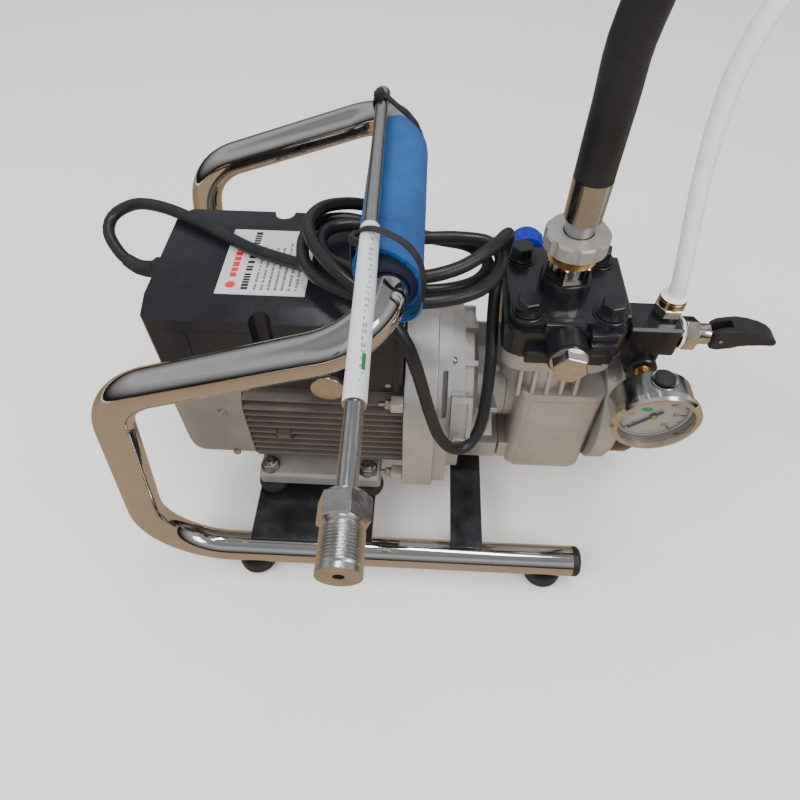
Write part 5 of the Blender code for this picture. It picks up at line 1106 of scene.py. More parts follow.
# pump head: rims round the bolts, stepped ledges, name-free cast faces
lips = []
for sx in (-1, 1):
    for sy in (-1, 1):
        lips.append(ring("u", 0.0118, 0.0134, (PUMP_X + sx * BOLT_OFF, sy * BOLT_OFF, 0.2495), (0, 0, 1), 0.0018, "black", 40, ch=0.0005))
lips = joined("head_bolt_rims", lips)
extra("head_bolt_rims", lips, "black")
led = [block("u", (0.2240, -0.0520, 0.2300), (0.2440, -0.0380, 0.2450), "black", 0.0010, 2),
       block("u", (0.2240, -0.0560, 0.2180), (0.2440, -0.0400, 0.2385), "black", 0.0010, 2),
       block("u", (0.1885, -0.0475, 0.2300), (0.2195, -0.0380, 0.2506), "black", 0.0010, 2),
       block("u", (0.2380, -0.0440, 0.2400), (0.2500, 0.0440, 0.2488), "black", 0.0012, 2)]
led = joined("head_ledges", led)
extra("head_ledges", led, "black")
# threads between the suction hexagon and its nut, and under the gauge
th = [(0.0, 0.0)]
for k in range(8):
    th += [(0.0181, 0.0002 + 0.0012 * k), (0.0189, 0.0008 + 0.0012 * k)]
th += [(0.0181, 0.0100), (0.0, 0.0100)]
extra("suction_thread", turned("u", th, (PUMP_X, 0, 0.2784), (0, 0, 1), "bright", 48), "brass")
th = [(0.0, 0.0)]
for k in range(7):
    th += [(0.0052, 0.0002 + 0.0011 * k), (0.0059, 0.0008 + 0.0011 * k)]
th += [(0.0052, 0.0080), (0.0, 0.0080)]
extra("gauge_thread", turned("u", th, (GAUGE_X, GY + 0.0500, GAUGE_Z), (0, 1, 0), "brass", 28), "brass")
extra("gauge_socket", turned("u", [(0.0062, 0.0), (0.0110, 0.0), (0.0120, 0.0012), (0.0120, 0.0120), (0.0062, 0.0120)], (GAUGE_X, -0.0400, GAUGE_Z), (0, 1, 0), "black", 36, closed=True), "black")
extra("hex_plug_washer", ring("u", 0.0125, 0.0156, (PUMP_X - 0.0004, -0.0672, 0.2338), (0, 1, 0), 0.0011, "black", 40), "black")
extra("lever_washer", ring("u", 0.0090, 0.0128, (0.3020, VY, VZ), (1, 0, 0), 0.0022, "white", 40, ch=0.0004), "white")
extra("return_brass_ring", ring("u", 0.0100, 0.0107, (0.2900, -0.0140, 0.2505), (0, 0, 1), 0.0028, "brass", 40, ch=0.0003), "brass")

# gauge dial: plate, ticks, figures and a plain green mark
DY = GY + 0.0108
extra("dial_plate", turned("u", [(0.0, 0.0), (0.0296, 0.0), (0.0296, 0.0006), (0.0, 0.0006)], (GAUGE_X, DY, GAUGE_Z), (0, 1, 0), "dial", 56), "dial")
ticks = []
for k in range(61):
    a = math.radians(225 - 270 * k / 60)
    major = k % 10 == 0
    r0, r1, w = (0.0206, 0.0264, 0.00080) if major else ((0.0228, 0.0264, 0.00052) if k % 5 == 0 else (0.0244, 0.0264, 0.00030))
    b = block("t", (r0, -0.00006, -w), (r1, 0.00006, w), "ink")
    b.data.transform(Matrix.Translation((GAUGE_X, DY - 0.00004, GAUGE_Z)) @ Matrix.Rotation(-a, 4, 'Y'))
    ticks.append(b)
ticks.append(ring("t", 0.0262, 0.0265, (GAUGE_X, DY - 0.0001, GAUGE_Z), (0, 1, 0), 0.00012, "ink", 60))
extra("dial_ticks", joined("dial_ticks", ticks), "ink")
figs = []
for k, t in enumerate(("0", "10", "20", "30", "40", "50", "60")):
    cu = bpy.data.curves.new("figure", "FONT")
    cu.body = t
    cu.size = 0.0056
    cu.extrude = 0.00005
    cu.align_x = "CENTER"
    cu.align_y = "CENTER"
    cu.resolution_u = 3
    o = bpy.data.objects.new("figure", cu)
    bpy.context.scene.collection.objects.link(o)
    bpy.context.view_layer.update()
    me = bpy.data.meshes.new_from_object(o.evaluated_get(bpy.context.evaluated_depsgraph_get()))
    bpy.data.objects.remove(o, do_unlink=True)
    a = math.radians(225 - 45 * k)
    me.transform(Matrix.Translation((GAUGE_X + 0.0173 * math.cos(a), DY - 0.00008, GAUGE_Z + 0.0173 * math.sin(a))) @ Matrix.Rotation(math.radians(90), 4, 'X'))
    o = bpy.data.objects.new("figure", me)
    bpy.context.scene.collection.objects.link(o)
    figs.append(o)
extra("dial_figures", joined("dial_figures", figs), "ink")
gm = turned("u", [(0.0, 0.0), (0.0034, 0.0), (0.0034, 0.00012), (0.0, 0.00012)], (0, 0, 0), (0, 1, 0), "green", 24)
gm.data.transform(Matrix.Translation((GAUGE_X - 0.0065, DY - 0.0001, GAUGE_Z + 0.0060)) @ Matrix.Diagonal((1.35, 1.0, 0.75, 1.0)))
extra("dial_green_mark", gm, "green")
bars = [block("t", (GAUGE_X + x0, DY - 0.0001, GAUGE_Z + z0), (GAUGE_X + x1, DY - 0.00002, GAUGE_Z + z0 + 0.0007), "greyink")
        for x0, x1, z0 in ((-0.006, 0.006, -0.0110), (-0.0045, 0.0045, -0.0132), (-0.0035, 0.0035, 0.0120))]
extra("dial_bars", joined("dial_bars", bars), "greyink")
extra("needle_hub", turned("u", [(0.0, 0.0), (0.0022, 0.0), (0.0026, 0.0006), (0.0026, 0.0012), (0.0, 0.0012)], (GAUGE_X, GY + 0.0074, GAUGE_Z), (0, 1, 0), "brass", 24), "brass", "needle")
dimple = turned("u", [(0.0082, 0.0), (0.0098, 0.0), (0.0104, 0.0008), (0.0098, 0.0014), (0.0082, 0.0010)], (GAUGE_X, GY + 0.0200, GAUGE_Z + 0.0306), (0, 0, 1), "brushed", 36, closed=True)
extra("gauge_plug_rim", dimple, "brushed")

# label: plain bars in place of printing
LZ = BOX_Z1 + GAP + 0.0005


def bar(x, y0, y1, w, key_list):
    key_list.append(block("t", (x - w / 2, y0, LZ - 0.0001), (x + w / 2, y1, LZ + 0.00012), "ink"))


red, blk, gry = [], [], []
red.append(turned("t", [(0.0, 0.0), (0.0042, 0.0), (0.0042, 0.0002), (0.0, 0.0002)], (-0.0540, -0.0290, LZ - 0.0001), (0, 0, 1), "red", 6))
for y0, y1 in ((-0.0200, -0.0150), (-0.0138, -0.0092), (-0.0080, -0.0020), (-0.0008, 0.0040), (0.0052, 0.0100), (0.0112, 0.0160), (0.0172, 0.0230)):
    bar(-0.0540, y0, y1, 0.0052, red)
bar(-0.0490, 0.0100, 0.0230, 0.0012, red)
y = -0.0340
while y < 0.0330:
    w = random.choice((0.0022, 0.0028, 0.0034))
    bar(-0.0425, y, y + w, 0.0052, blk)
    y += w + 0.0008 + (0.0024 if random.random() < 0.18 else 0.0)
for k, x in enumerate((-0.0345, -0.0292, -0.0239, -0.0186, -0.0133, -0.0080, -0.0027)):
    y = -0.0340
    end = random.uniform(0.000, 0.020)
    while y < end:
        w = random.choice((0.0018, 0.0026, 0.0040))
        bar(x, y, y + w, 0.0019, gry)
        y += w + random.choice((0.0006, 0.0006, 0.0020))
extra("label_red_bars", joined("label_red_bars", red), "red")
extra("label_black_bars", joined("label_black_bars", blk), "ink")
extra("label_grey_bars", joined("label_grey_bars", gry), "greyink")

# control box: screws in the wells, screws and strip on the near face, index dot
for s, yy in ((-1, BOX_Y0), (1, BOX_Y1)):
    screw("well_screw_" + ("n" if s < 0 else "f"), (WELL_X, yy - s * 0.0040, BOX_Z0 + 0.0360), (0, 0, 1), 0.0034, 0.0026, "steel", False)
    screw("box_screw_" + ("n" if s < 0 else "f"), (0.0690, yy, 0.1892), (0, s, 0), 0.0026, 0.0016, "steel", False)
rib = joined("box_ribs", [block("u", (0.0735, BOX_Y0 - 0.0010, BOX_Z0 + 0.0020), (0.0762, BOX_Y0 + 0.0010, BOX_ZS - 0.0020), "box", 0.0004, 2),
                          block("u", (-0.0890, BOX_Y0 - 0.0008, BOX_Z0 + 0.0020), (-0.0860, BOX_Y0 + 0.0010, BOX_ZS - 0.0020), "box", 0.0004, 2)])
extra("box_ribs", rib, "box")
extra("knob_index", turned("u", [(0.0, 0.0), (0.0010, 0.0), (0.0010, 0.0004), (0.0, 0.0004)], (KNOB[0] + 0.0010, BOX_Y0 - 0.0002, KNOB[2] - 0.0185), (0, -1, 0), "white", 16), "white")
# moulded rocker under the knob cap: grip flutes round its skirt
fl = []
for k in range(24):
    a = 2 * math.pi * k / 24
    fl.append(cyl("u", 0.0006, (KNOB[0] + 0.0150 * math.cos(a), KNOB[1] - 0.0160, KNOB[2] + 0.0150 * math.sin(a)), (0, 1, 0), 0.0125, "plastic", 11))
extra("knob_flutes", joined("knob_flutes", fl), "plastic", "switch_knob")

# pressure knob: moulded ribs over the cap
pr = []
for k in range(16):
    a = 2 * math.pi * (k + 0.5) / 16
    pr.append(cyl("u", 0.0010, (PK[0] + 0.0146 * math.cos(a), PK[1] + 0.0060, PK[2] + 0.0146 * math.sin(a)), (0, 1, 0), 0.0095, "blue", 11))
extra("pressure_knob_ribs", joined("pressure_knob_ribs", pr), "blue", "pressure_knob")

# lance: thread on the tip, plain print on the sleeve
LT = LA + LD * (LL - 0.0095)
th = [(0.0062, 0.0160)]
for k in range(11):
    th += [(0.0091, 0.0162 + 0.0015 * k), (0.0099, 0.0167 + 0.0015 * k), (0.0099, 0.0171 + 0.0015 * k)]
th += [(0.0091, 0.0333), (0.0062, 0.0333)]
extra("lance_thread", turned("u", th, LT, LD, "steel", 48, closed=True), "steel")
LX = Vector((1, 0, 0))
LX = (LX - LD * LX.dot(LD)).normalized()
LUP = LX.cross(LD).normalized()
if LUP.z < 0:
    LUP = -LUP
marks = []
for k in range(26):
    s0 = 0.180 + 0.0048 * k
    ln = random.choice((0.0012, 0.0020, 0.0028))
    for row, ang in ((0, 62), (1, 74)):
        if random.random() < 0.32:
            continue
        a = math.radians(ang)
        c = LA + LD * (s0 + ln / 2) + (LX * math.cos(a) + LUP * math.sin(a)) * 0.00622
        b = block("t", (-ln / 2, -0.00035, -0.00005), (ln / 2, 0.00035, 0.00005), "greyink")
        nrm = (LX * math.cos(a) + LUP * math.sin(a)).normalized()
        side = nrm.cross(LD).normalized()
        b.data.transform(Matrix.Translation(c) @ Matrix((LD, side, nrm)).transposed().to_4x4())
        marks.append(b)
extra("sleeve_print", joined("sleeve_print", marks), "greyink")
a = math.radians(58)
nrm = (LX * math.cos(a) + LUP * math.sin(a)).normalized()
gm = block("t", (-0.0055, -0.0011, -0.00010), (0.0055, 0.0011, 0.00010), "green")
gm.data.transform(Matrix.Translation(LA + LD * 0.288 + nrm * 0.00620) @ Matrix((LD, nrm.cross(LD).normalized(), nrm)).transposed().to_4x4())
extra("sleeve_green_mark", gm, "green")

# ------------------------------------------------------------- handle pad
def pad_mesh():
    """Webbing wrapped round the crossbar: soft oval section, cut corner, frayed near end."""
    nu, nv = 96, 88
    y0, y1 = -0.0905, 0.0850
    bm = bmesh.new()
    outer, inner = [], []
    for j in range(nv + 1):
        t = j / nv
        ro, ri = [], []
        for i in range(nu):
            a = 2 * math.pi * i / nu            # 0 = +X, 90 deg = up
            cx, sz = math.cos(a), math.sin(a)
            # near end runs further out on the +X side, far end is cut off there
            ya = y0 + 0.0150 * (0.5 - 0.5 * cx) * 1.0
            yb = y1 - 0.0140 * max(0.0, cx) ** 1.2
            if t < 0.14:
                ya += 0.0010 * noise.noise(Vector((a * 9, 1.0, 0.3))) + 0.0006 * noise.noise(Vector((a * 40, 2.0, 0.3)))
            y = ya + (yb - ya) * t
            bulge = 0.00035 * noise.noise(Vector((cx * 1.3, y * 22, sz * 1.3))) + 0.0006 * noise.noise(Vector((cx * 0.8, y * 9, sz)))
            rx, rz = 0.0224, 0.0212
            flat = 0.0010 * max(0.0, math.cos(2 * (a - math.radians(55)))) ** 2
            end = 0.0014 * math.exp(-((t - 0.0) / 0.05) ** 2) - 0.0010 * math.exp(-((1 - t) / 0.04) ** 2)
            r = 1.0 / math.sqrt((cx / rx) ** 2 + (sz / rz) ** 2) - flat + bulge + end
            wv = 0.00010 * math.sin(2 * math.pi * y / 0.0022)
            ro.append(bm.verts.new((HANDLE_X + (r + wv) * cx, y, HANDLE_Z + (r + wv) * sz)))
            rin = max(TUBE_R + 0.0006, r - 0.0045)
            ri.append(bm.verts.new((HANDLE_X + rin * cx, y + (0.0006 if t == 0 else 0), HANDLE_Z + rin * sz)))
        outer.append(ro)
        inner.append(ri)
    for A, B in zip(outer[:-1], outer[1:]):
        for i in range(nu):
            k = (i + 1) % nu
            bm.faces.new((A[i], A[k], B[k], B[i]))
    for A, B in zip(inner[:-1], inner[1:]):
        for i in range(nu):
            k = (i + 1) % nu
            bm.faces.new((A[i], B[i], B[k], A[k]))
    for r1, r2 in ((outer[0], inner[0]), (outer[-1], inner[-1])):
        for i in range(nu):
            k = (i + 1) % nu
            bm.faces.new((r1[i], r1[k], r2[k], r2[i]))
    return bm


bpy.data.objects.remove(MADE.pop("v_handle_pad")[0], do_unlink=True)
pad = new_object("handle_pad", pad_mesh(), "webbing", angle=50)
# folded corner of the webbing at the near right end, and threads at the frayed edge
def flap(name, pts, thick, key):
    """Thin closed sheet through a grid of points, thickened along its normal."""
    bm = bmesh.new()
    rows = [[bm.verts.new(p) for p in r] for r in pts]
    for A, B in zip(rows[:-1], rows[1:]):
        for i in range(len(A) - 1):
            bm.faces.new((A[i], A[i + 1], B[i + 1], B[i]))
    bmesh.ops.recalc_face_normals(bm, faces=bm.faces[:])
    bmesh.ops.solidify(bm, geom=bm.faces[:], thickness=thick)
    ob = new_object(name, bm, key)
    extra(name, ob, key)
    return ob


rows = []
for j in range(9):
    t = j / 8
    row = []
    for i in range(9):
        u = i / 8
        a = math.radians(-78 + 70 * u)
        r = 0.0228 + 0.0010 * math.sin(3 * u)
        row.append((HANDLE_X + r * math.cos(a), -0.0900 - 0.0120 * t * (0.35 + 0.65 * u), HANDLE_Z + (r + 0.0030 * t) * math.sin(a) - 0.0015 * t))
    rows.append(row)
flap("pad_folded_corner", rows, 0.0011, "webbing")
threads = []
for k in range(46):
    a = math.radians(20 + 140 * (k + random.random() * 0.6) / 46)
    cx = math.cos(a)
    yy = -0.0905 + 0.0150 * (0.5 - 0.5 * cx) + 0.0006
    r = 0.0216
    ln = random.uniform(0.0012, 0.0036)
    tilt = random.uniform(-0.4, 0.4)
    p0 = Vector((HANDLE_X + r * cx, yy, HANDLE_Z + r * math.sin(a)))
    d = Vector((-math.sin(a) * tilt + cx * 0.25, -1.0, math.cos(a) * tilt + 0.25)).normalized()
    pth = [p0, p0 + d * ln * 0.5 + Vector((0, 0, 0.0001)), p0 + d * ln]
    threads.append(cyl("t", 0.00013, p0, d, ln, "webbing", 6))
extra("pad_loose_threads", joined("pad_loose_threads", threads), "webbing")
# far end: dark lining and wrap that shows past the cut corner
extra("pad_lining_far", ring("u", TUBE_R + 0.0004, 0.0185, (HANDLE_X, 0.0760, HANDLE_Z), (0, 1, 0), 0.0110, "webbing_in", 56, ch=0.002), "webbing_in")
extra("pad_lining_near", ring("u", TUBE_R + 0.0004, 0.0188, (HANDLE_X, -0.0930, HANDLE_Z), (0, 1, 0), 0.0150, "webbing_in", 56, ch=0.002), "webbing_in")

# ------------------------------------------------------------- cable ties
def tie(name, centre, direction, hs, zlo, zhi, width=0.0046, head_at=None):
    """Nylon tie: an oval round the bar and lance, with its ratchet head."""
    c = Vector(centre)
    d = Vector(direction).normalized()
    ax = Vector((0, 0, 1)).cross(d).normalized()
    pts = []
    for i in range(56):
        a = 2 * math.pi * i / 56
        s = hs * (abs(math.cos(a)) ** 0.75) * (1 if math.cos(a) >= 0 else -1)
        zz = (zlo + zhi) / 2 + (zhi - zlo) / 2 * (abs(math.sin(a)) ** 0.75) * (1 if math.sin(a) >= 0 else -1)
        pts.append(c + d * s + Vector((0, 0, zz - c.z)))
    strap_loop(name, pts, width, 0.0014, ax, "tie")
    if head_at is not None:
        hb = block("t", (-0.0042, -0.0036, -0.0034), (0.0042, 0.0036, 0.0034), "tie", 0.0008, 2)
        hb.data.transform(Matrix.Translation(Vector(head_at)) @ Matrix((d, ax, Vector((0, 0, 1)))).transposed().to_4x4())
        extra(name + "_head", hb, "tie")


tie("cable_tie_near", (0.0710, -0.0830, 0.3290), (0.86, -0.51, 0), 0.0262, 0.2965, 0.3555, head_at=(0.0515, -0.0722, 0.3430))


def hugging_tie(name, y, circles, width, head_at):
    """Tie pulled tight: the hull round the given circles (x, z, radius) at one y."""
    pts = []
    for cx, cz, r in circles:
        pts += [(cx + r * math.cos(2 * math.pi * k / 40), cz + r * math.sin(2 * math.pi * k / 40)) for k in range(40)]
    pts = sorted(set(pts))

    def half(seq):
        out = []
        for q in seq:
            while len(out) > 1 and (out[-1][0] - out[-2][0]) * (q[1] - out[-2][1]) - (out[-1][1] - out[-2][1]) * (q[0] - out[-2][0]) <= 0:
                out.pop()
            out.append(q)
        return out[:-1]

    hull = half(pts) + half(reversed(pts))
    strap_loop(name, [(x, y, z) for x, z in hull], width, 0.0014, (0, 1, 0), "tie")
    hb = block("t", (-0.0038, -0.0036, -0.0030), (0.0038, 0.0036, 0.0030), "tie", 0.0008, 2)
    hb.data.transform(Matrix.Translation(Vector(head_at)) @ Matrix.Rotation(math.radians(-30), 4, 'Y'))
    extra(name + "_head", hb, "tie")


hugging_tie("cable_tie_far", 0.0935, ((HANDLE_X, HANDLE_Z, TUBE_R + 0.0004), (LA.x + 0.0003, LANCE_Z, 0.0056)), 0.0070, (0.0545, 0.0935, 0.3525))

# ---------------------------------------------------------- hoses and cable
def loop_points():
    """Mains cable: out of the gland, over the box, a flat hank under the handle,
    one long loop hanging beside the gearbox, then down behind the box."""
    return [
        (BOX_X0 - 0.0206, 0.0200, 0.2325), (-0.1500, 0.0212, 0.2335), (-0.1660, 0.0300, 0.2390), (-0.1790, 0.0460, 0.2480),
        (-0.1790, 0.0620, 0.2540), (-0.1650, 0.0700, 0.2600), (-0.1450, 0.0650, 0.2660), (-0.1150, 0.0510, 0.2690),
        (-0.0750, 0.0270, 0.2686), (-0.0450, 0.0080, 0.2686), (-0.0200, -0.0030, 0.2686), (0.0060, -0.0120, 0.2686),
        (0.0350, -0.0230, 0.2686), (0.0700, -0.0330, 0.2686), (0.1050, -0.0350, 0.2700), (0.1330, -0.0240, 0.2700),
        (0.1440, -0.0020, 0.2700), (0.1300, 0.0180, 0.2705), (0.1020, 0.0240, 0.2720), (0.0600, 0.0340, 0.2740),
        (0.0300, 0.0400, 0.2765), (0.0080, 0.0300, 0.2790), (0.0000, 0.0060, 0.2800), (0.0060, -0.0240, 0.2805),
        (0.0260, -0.0460, 0.2810), (0.0600, -0.0590, 0.2815), (0.1000, -0.0600, 0.2815), (0.1350, -0.0460, 0.2815),
        (0.1520, -0.0180, 0.2820), (0.1450, 0.0060, 0.2830), (0.1200, 0.0110, 0.2835), (0.0800, 0.0100, 0.2830),
        (0.0450, 0.0200, 0.2850), (0.0220, 0.0150, 0.2860), (0.0150, -0.0030, 0.2870), (0.0250, -0.0260, 0.2880),
        (0.0550, -0.0440, 0.2925), (0.0900, -0.0480, 0.2930), (0.1200, -0.0380, 0.2950), (0.1430, -0.0190, 0.2985),
        (0.1560, 0.0010, 0.2960), (0.1565, 0.0095, 0.2770), (0.1535, 0.0040, 0.2520), (0.1525, -0.0140, 0.2280),
        (0.1530, -0.0360, 0.2030), (0.1520, -0.0560, 0.1740), (0.1480, -0.0730, 0.1490), (0.1370, -0.0850, 0.1370),
        (0.1245, -0.0900, 0.1420), (0.1130, -0.0910, 0.1600), (0.1040, -0.0900, 0.1900), (0.0970, -0.0890, 0.2200),
        (0.0900, -0.0880, 0.2480), (0.0800, -0.0820, 0.2700), (0.0620, -0.0700, 0.2860), (0.0330, -0.0480, 0.2960),
        (0.0130, -0.0200, 0.2975), (0.0060, 0.0080, 0.2960), (0.0130, 0.0320, 0.2920), (0.0300, 0.0500, 0.2840),
        (0.0480, 0.0600, 0.2760), (0.0600, 0.0720, 0.2710), (0.0640, 0.0860, 0.2600), (0.0640, 0.0920, 0.2400),
        (0.0640, 0.0930, 0.2200), (0.0640, 0.0930, 0.2003)]


MAINS_R, HOSE_R, RET_R = 0.005, 0.0140, 0.0062


def line(name, path, r, key, node):
    """Flexible line as a round bevelled curve on one smooth path."""
    cu = bpy.data.curves.new(name, "CURVE")
    cu.dimensions = "3D"
    cu.bevel_depth = r
    cu.bevel_resolution = 7
    cu.use_fill_caps = True
    sp = cu.splines.new("POLY")
    sp.points.add(len(path) - 1)
    for i, p in enumerate(path):
        q = Vector(p) + SHIFT
        sp.points[i].co = (q.x, q.y, q.z, 1.0)
    sp.use_smooth = True
    ob = bpy.data.objects.new("v_" + name, cu)
    bpy.context.scene.collection.objects.link(ob)
    cu.materials.append(MAT[key])
    MADE[ob.name] = (ob, BODY_OF[node], [node])
    return ob, sum((Vector(b) - Vector(a)).length for a, b in zip(path[:-1], path[1:]))


mains_path = catmull(loop_points(), 0.006)
mains, mains_len = line("mains_cable", mains_path, MAINS_R, "cable", "mains_cable")
plug = turned("mains_plug", [(0.0, 0.0), (0.0060, 0.0), (0.0075, -0.0120), (0.0150, -0.0220), (0.0170, -0.0260), (0.0170, -0.0440), (0.0155, -0.0460), (0.0, -0.0460)],
              (0.0640, 0.0930, 0.2000), (0, 0, 1), RUBBER, 28)
boolean(plug, [cyl("u", 0.0024, (0.0640 + sx * 0.0095, 0.0930, 0.1360), (0, 0, 1), 0.0200, STEEL, 14) for sx in (-1, 1)], "UNION")

suction_path = catmull([(PUMP_X, 0, FERR_Z1 + GAP), (PUMP_X, 0, 0.3950), (PUMP_X + 0.0010, 0, 0.4450), (PUMP_X + 0.0200, 0, 0.5150), (0.2950, 0, 0.5750),
                              (0.3800, 0, 0.5750), (0.4560, 0, 0.5220), (0.5020, 0, 0.4300), (0.5300, 0, 0.3200), (0.5550, 0, 0.2100),
                              (0.5900, 0, 0.1050), (0.6500, 0, 0.0350), (0.7100, 0, 0.0160), (0.7600, 0, 0.0150), (0.8000, 0, 0.0150)], 0.010)
suction, suction_len = line("suction_hose", suction_path, HOSE_R, "hose", "suction_hose")
st = turned("suction_strainer", [(0.0, 0.0), (0.0120, 0.0), (0.0150, 0.0020), (0.0150, 0.0500), (0.0135, 0.0520), (0.0, 0.0520)],
            (0.8006, 0, 0.0152), (1, 0, 0), STEEL, 36)
return_path = catmull([(0.2900, -0.0140, 0.2579), (0.2897, -0.0139, 0.2660), (0.2877, -0.0130, 0.2800), (0.2815, -0.0095, 0.3160), (0.2765, -0.0060, 0.3480), (0.2725, -0.0030, 0.3850),
                             (0.2725, 0.0000, 0.4250), (0.2840, 0.0020, 0.4650), (0.3120, 0.0050, 0.5000), (0.3500, 0.0100, 0.5100), (0.3900, 0.0180, 0.4900), (0.4300, 0.0280, 0.4450), (0.4620, 0.0400, 0.3700), (0.4900, 0.0480, 0.2700),
                             (0.5250, 0.0520, 0.1600), (0.5700, 0.0540, 0.0650), (0.6300, 0.0550, 0.0120), (0.7000, 0.0550, 0.0068), (0.7600, 0.0550, 0.0068)], 0.008)
ret, ret_len = line("return_hose", return_path, RET_R, "white_hose", "return_hose")
# tapered strain relief where the cable leaves its gland
boot = [p for p in mains_path if (Vector(p) - Vector(mains_path[0])).length < 0.030][:7]
boot = [Vector((BOX_X0 - 0.0185, 0.0200, 0.2325))] + [Vector(p) for p in boot]
tube_along("cable_boot", boot, 0.0066, "rubber", 28, radii=[0.0078 - 0.0021 * i / (len(boot) - 1) for i in range(len(boot))])


# --------------------------------------------------- put everything in place
for name, (ob, body, nodes) in MADE.items():
    if ob.type == "MESH":
        ob.data.transform(Matrix.Translation(SHIFT))
    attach(ob, body)
    if nodes:
        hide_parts(*nodes)

# -------------------------------------------------------------- floor, light
floor = bpy.data.meshes.new("floor")
bmf = bmesh.new()
bmesh.ops.create_grid(bmf, x_segments=2, y_segments=2, size=6.0)
bmf.to_mesh(floor)
bmf.free()
floor_ob = bpy.data.objects.new("floor", floor)
floor_ob.location = (0, 0, -0.0005)
bpy.context.scene.collection.objects.link(floor_ob)
floor.materials.append(surface("floor_pale", (0.86, 0.855, 0.845), 0.0, 0.75, 0.01, 2, 0.05, 4, (("noise", 60, 0.0004),)))


def card(name, mat, verts, faces):
    me = bpy.data.meshes.new(name)
    me.from_pydata(verts, [], faces)
    ob = bpy.data.objects.new(name, me)
    bpy.context.scene.collection.objects.link(ob)
    me.materials.append(mat)
    ob.visible_camera = False
    ob.visible_shadow = False
    ob.visible_diffuse = False
    ob.visible_transmission = False
    return ob


def card_material(name, stops, horizontal=True, strength=1.0):
    """Studio reflector card: soft bands of tone that only polished parts pick up."""
    m = bpy.data.materials.new(name)
    m.use_nodes = True
    nt = m.node_tree
    nt.nodes.clear()
    out = nt.nodes.new("ShaderNodeOutputMaterial")
    em = nt.nodes.new("ShaderNodeEmission")
    em.inputs["Strength"].default_value = strength
    tc = nt.nodes.new("ShaderNodeTexCoord")
    sx = nt.nodes.new("ShaderNodeSeparateXYZ")
    nt.links.new(tc.outputs["Generated"], sx.inputs["Vector"])
    ns = nt.nodes.new("ShaderNodeTexNoise")
    ns.inputs["Scale"].default_value = 3.0
    nt.links.new(tc.outputs["Generated"], ns.inputs["Vector"])
    mad = nt.nodes.new("ShaderNodeMath")
    mad.operation = "MULTIPLY_ADD"
    nt.links.new(ns.outputs["Fac"], mad.inputs[0])
    mad.inputs[1].default_value = 0.10
    nt.links.new(sx.outputs["Z" if horizontal else "Y"], mad.inputs[2])
    cr = nt.nodes.new("ShaderNodeValToRGB")
    while len(cr.color_ramp.elements) < len(stops):
        cr.color_ramp.elements.new(0.5)
    for e, (p, c) in zip(cr.color_ramp.elements, stops):
        e.position = p
        e.color = (*c, 1)
    nt.links.new(mad.outputs[0], cr.inputs["Fac"])
    nt.links.new(cr.outputs["Color"], em.inputs["Color"])
    nt.links.new(em.outputs["Emission"], out.inputs["Surface"])
    return m


# warm board under the machine, seen only in polished surfaces
R = 1.6
card("board", card_material("board_warm", [(0.0, (0.30, 0.20, 0.125)), (0.30, (0.46, 0.33, 0.22)), (0.50, (0.52, 0.39, 0.27)), (0.62, (0.36, 0.25, 0.16)), (0.80, (0.50, 0.38, 0.27)), (1.0, (0.28, 0.19, 0.12))], False, 1.0),
     [(-R, -R, -0.0002), (R, -R, -0.0002), (R, R, -0.0002), (-R, R, -0.0002)], [(0, 1, 2, 3)])
# ring of wall: dark foot, grey, bright window band
wv, wf = [], []
for k in range(48):
    a = 2 * math.pi * k / 48
    wv += [(1.9 * math.cos(a), 1.9 * math.sin(a), -0.02), (1.9 * math.cos(a), 1.9 * math.sin(a), 2.4)]
    j = (k + 1) % 48
    wf.append((2 * k, 2 * j, 2 * j + 1, 2 * k + 1))
card("walls", card_material("walls_grey", [(0.0, (0.012, 0.012, 0.014)), (0.13, (0.02, 0.02, 0.022)), (0.20, (0.10, 0.09, 0.085)), (0.34, (0.30, 0.30, 0.31)), (0.55, (0.55, 0.56, 0.58)), (0.80, (0.50, 0.51, 0.53)), (1.0, (0.30, 0.305, 0.32))], True, 1.0), wv, wf)
# plain ceiling, darker than the walls
cv = [(0.0, 0.0, 2.4)] + [(1.9 * math.cos(2 * math.pi * k / 48), 1.9 * math.sin(2 * math.pi * k / 48), 2.4) for k in range(48)]
card("ceiling", card_material("ceiling_grey", [(0.0, (0.26, 0.265, 0.28)), (0.5, (0.34, 0.345, 0.36)), (1.0, (0.26, 0.265, 0.28))], False, 1.0),
     cv, [(0, 1 + (k + 1) % 48, 1 + k) for k in range(48)])

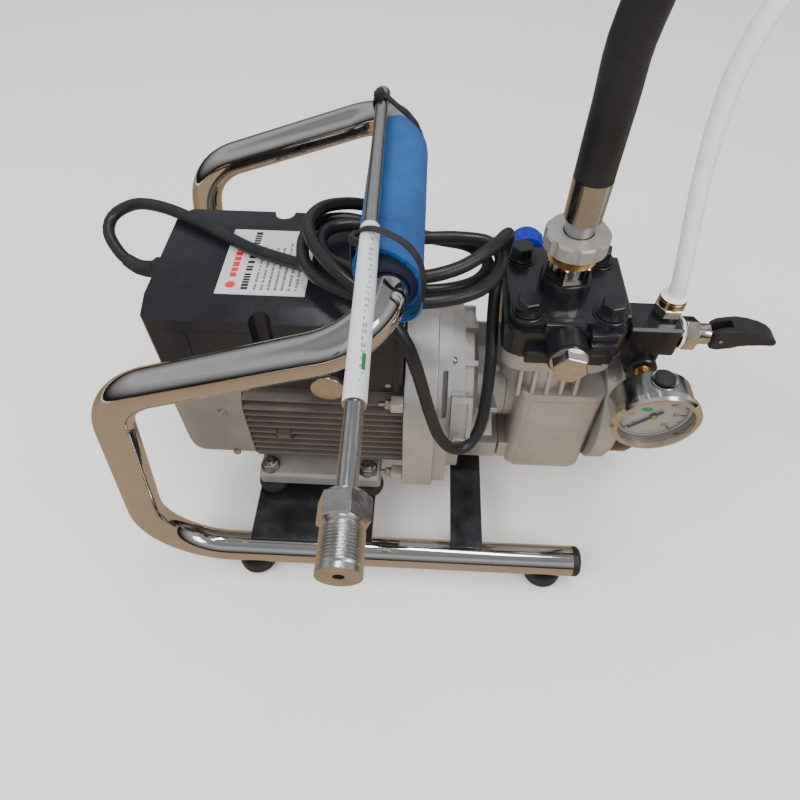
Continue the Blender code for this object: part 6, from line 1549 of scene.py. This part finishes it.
world = bpy.data.worlds.new("studio")
bpy.context.scene.world = world
world.use_nodes = True
wb = world.node_tree.nodes["Background"]
wb.inputs["Color"].default_value = (0.93, 0.95, 1.0, 1)
wb.inputs["Strength"].default_value = 1.05


def area(name, loc, target, size, power, colour=(1, 1, 1)):
    li = bpy.data.lights.new(name, "AREA")
    li.shape = "RECTANGLE"
    li.size, li.size_y = size
    li.energy = power
    li.color = colour
    ob = bpy.data.objects.new(name, li)
    bpy.context.scene.collection.objects.link(ob)
    ob.location = loc
    ob.rotation_euler = (Vector(target) - Vector(loc)).to_track_quat('-Z', 'Y').to_euler()
    return ob


area("key", (-1.2, -1.0, 1.9), (0, 0, 0.15), (1.4, 0.9), 36, (1.0, 0.99, 0.97)).visible_glossy = False
area("fill", (1.3, -1.1, 1.5), (0, 0, 0.15), (1.2, 0.8), 14, (0.98, 0.98, 1.0))
area("top", (0.1, 0.1, 1.75), (0, 0, 0.1), (0.9, 0.25), 9, (1.0, 1.0, 1.0))

# -------------------------------------------------------------------- camera
cam = bpy.data.cameras.new("camera")
cam_ob = bpy.data.objects.new("camera", cam)
bpy.context.scene.collection.objects.link(cam_ob)
cam.sensor_width = 36.0
cam.sensor_fit = "HORIZONTAL"
cam.lens = 618.2544 * 36.0 / 800.0
cam.clip_start = 0.01
cam.dof.use_dof = False
pitch, yaw, roll = math.radians(52.0455), math.radians(-2.3590), math.radians(0.5671)
fw = Vector((math.sin(yaw) * math.cos(pitch), math.cos(yaw) * math.cos(pitch), -math.sin(pitch)))
right = Vector((math.cos(yaw), -math.sin(yaw), 0.0))
up = right.cross(fw)
rr = right * math.cos(roll) + up * math.sin(roll)
uu = up * math.cos(roll) - right * math.sin(roll)
eye = Vector((0.09225, -0.38407, 0.58316)) + SHIFT
cam_ob.matrix_world = Matrix(((rr.x, uu.x, -fw.x, eye.x), (rr.y, uu.y, -fw.y, eye.y), (rr.z, uu.z, -fw.z, eye.z), (0, 0, 0, 1)))
bpy.context.scene.camera = cam_ob
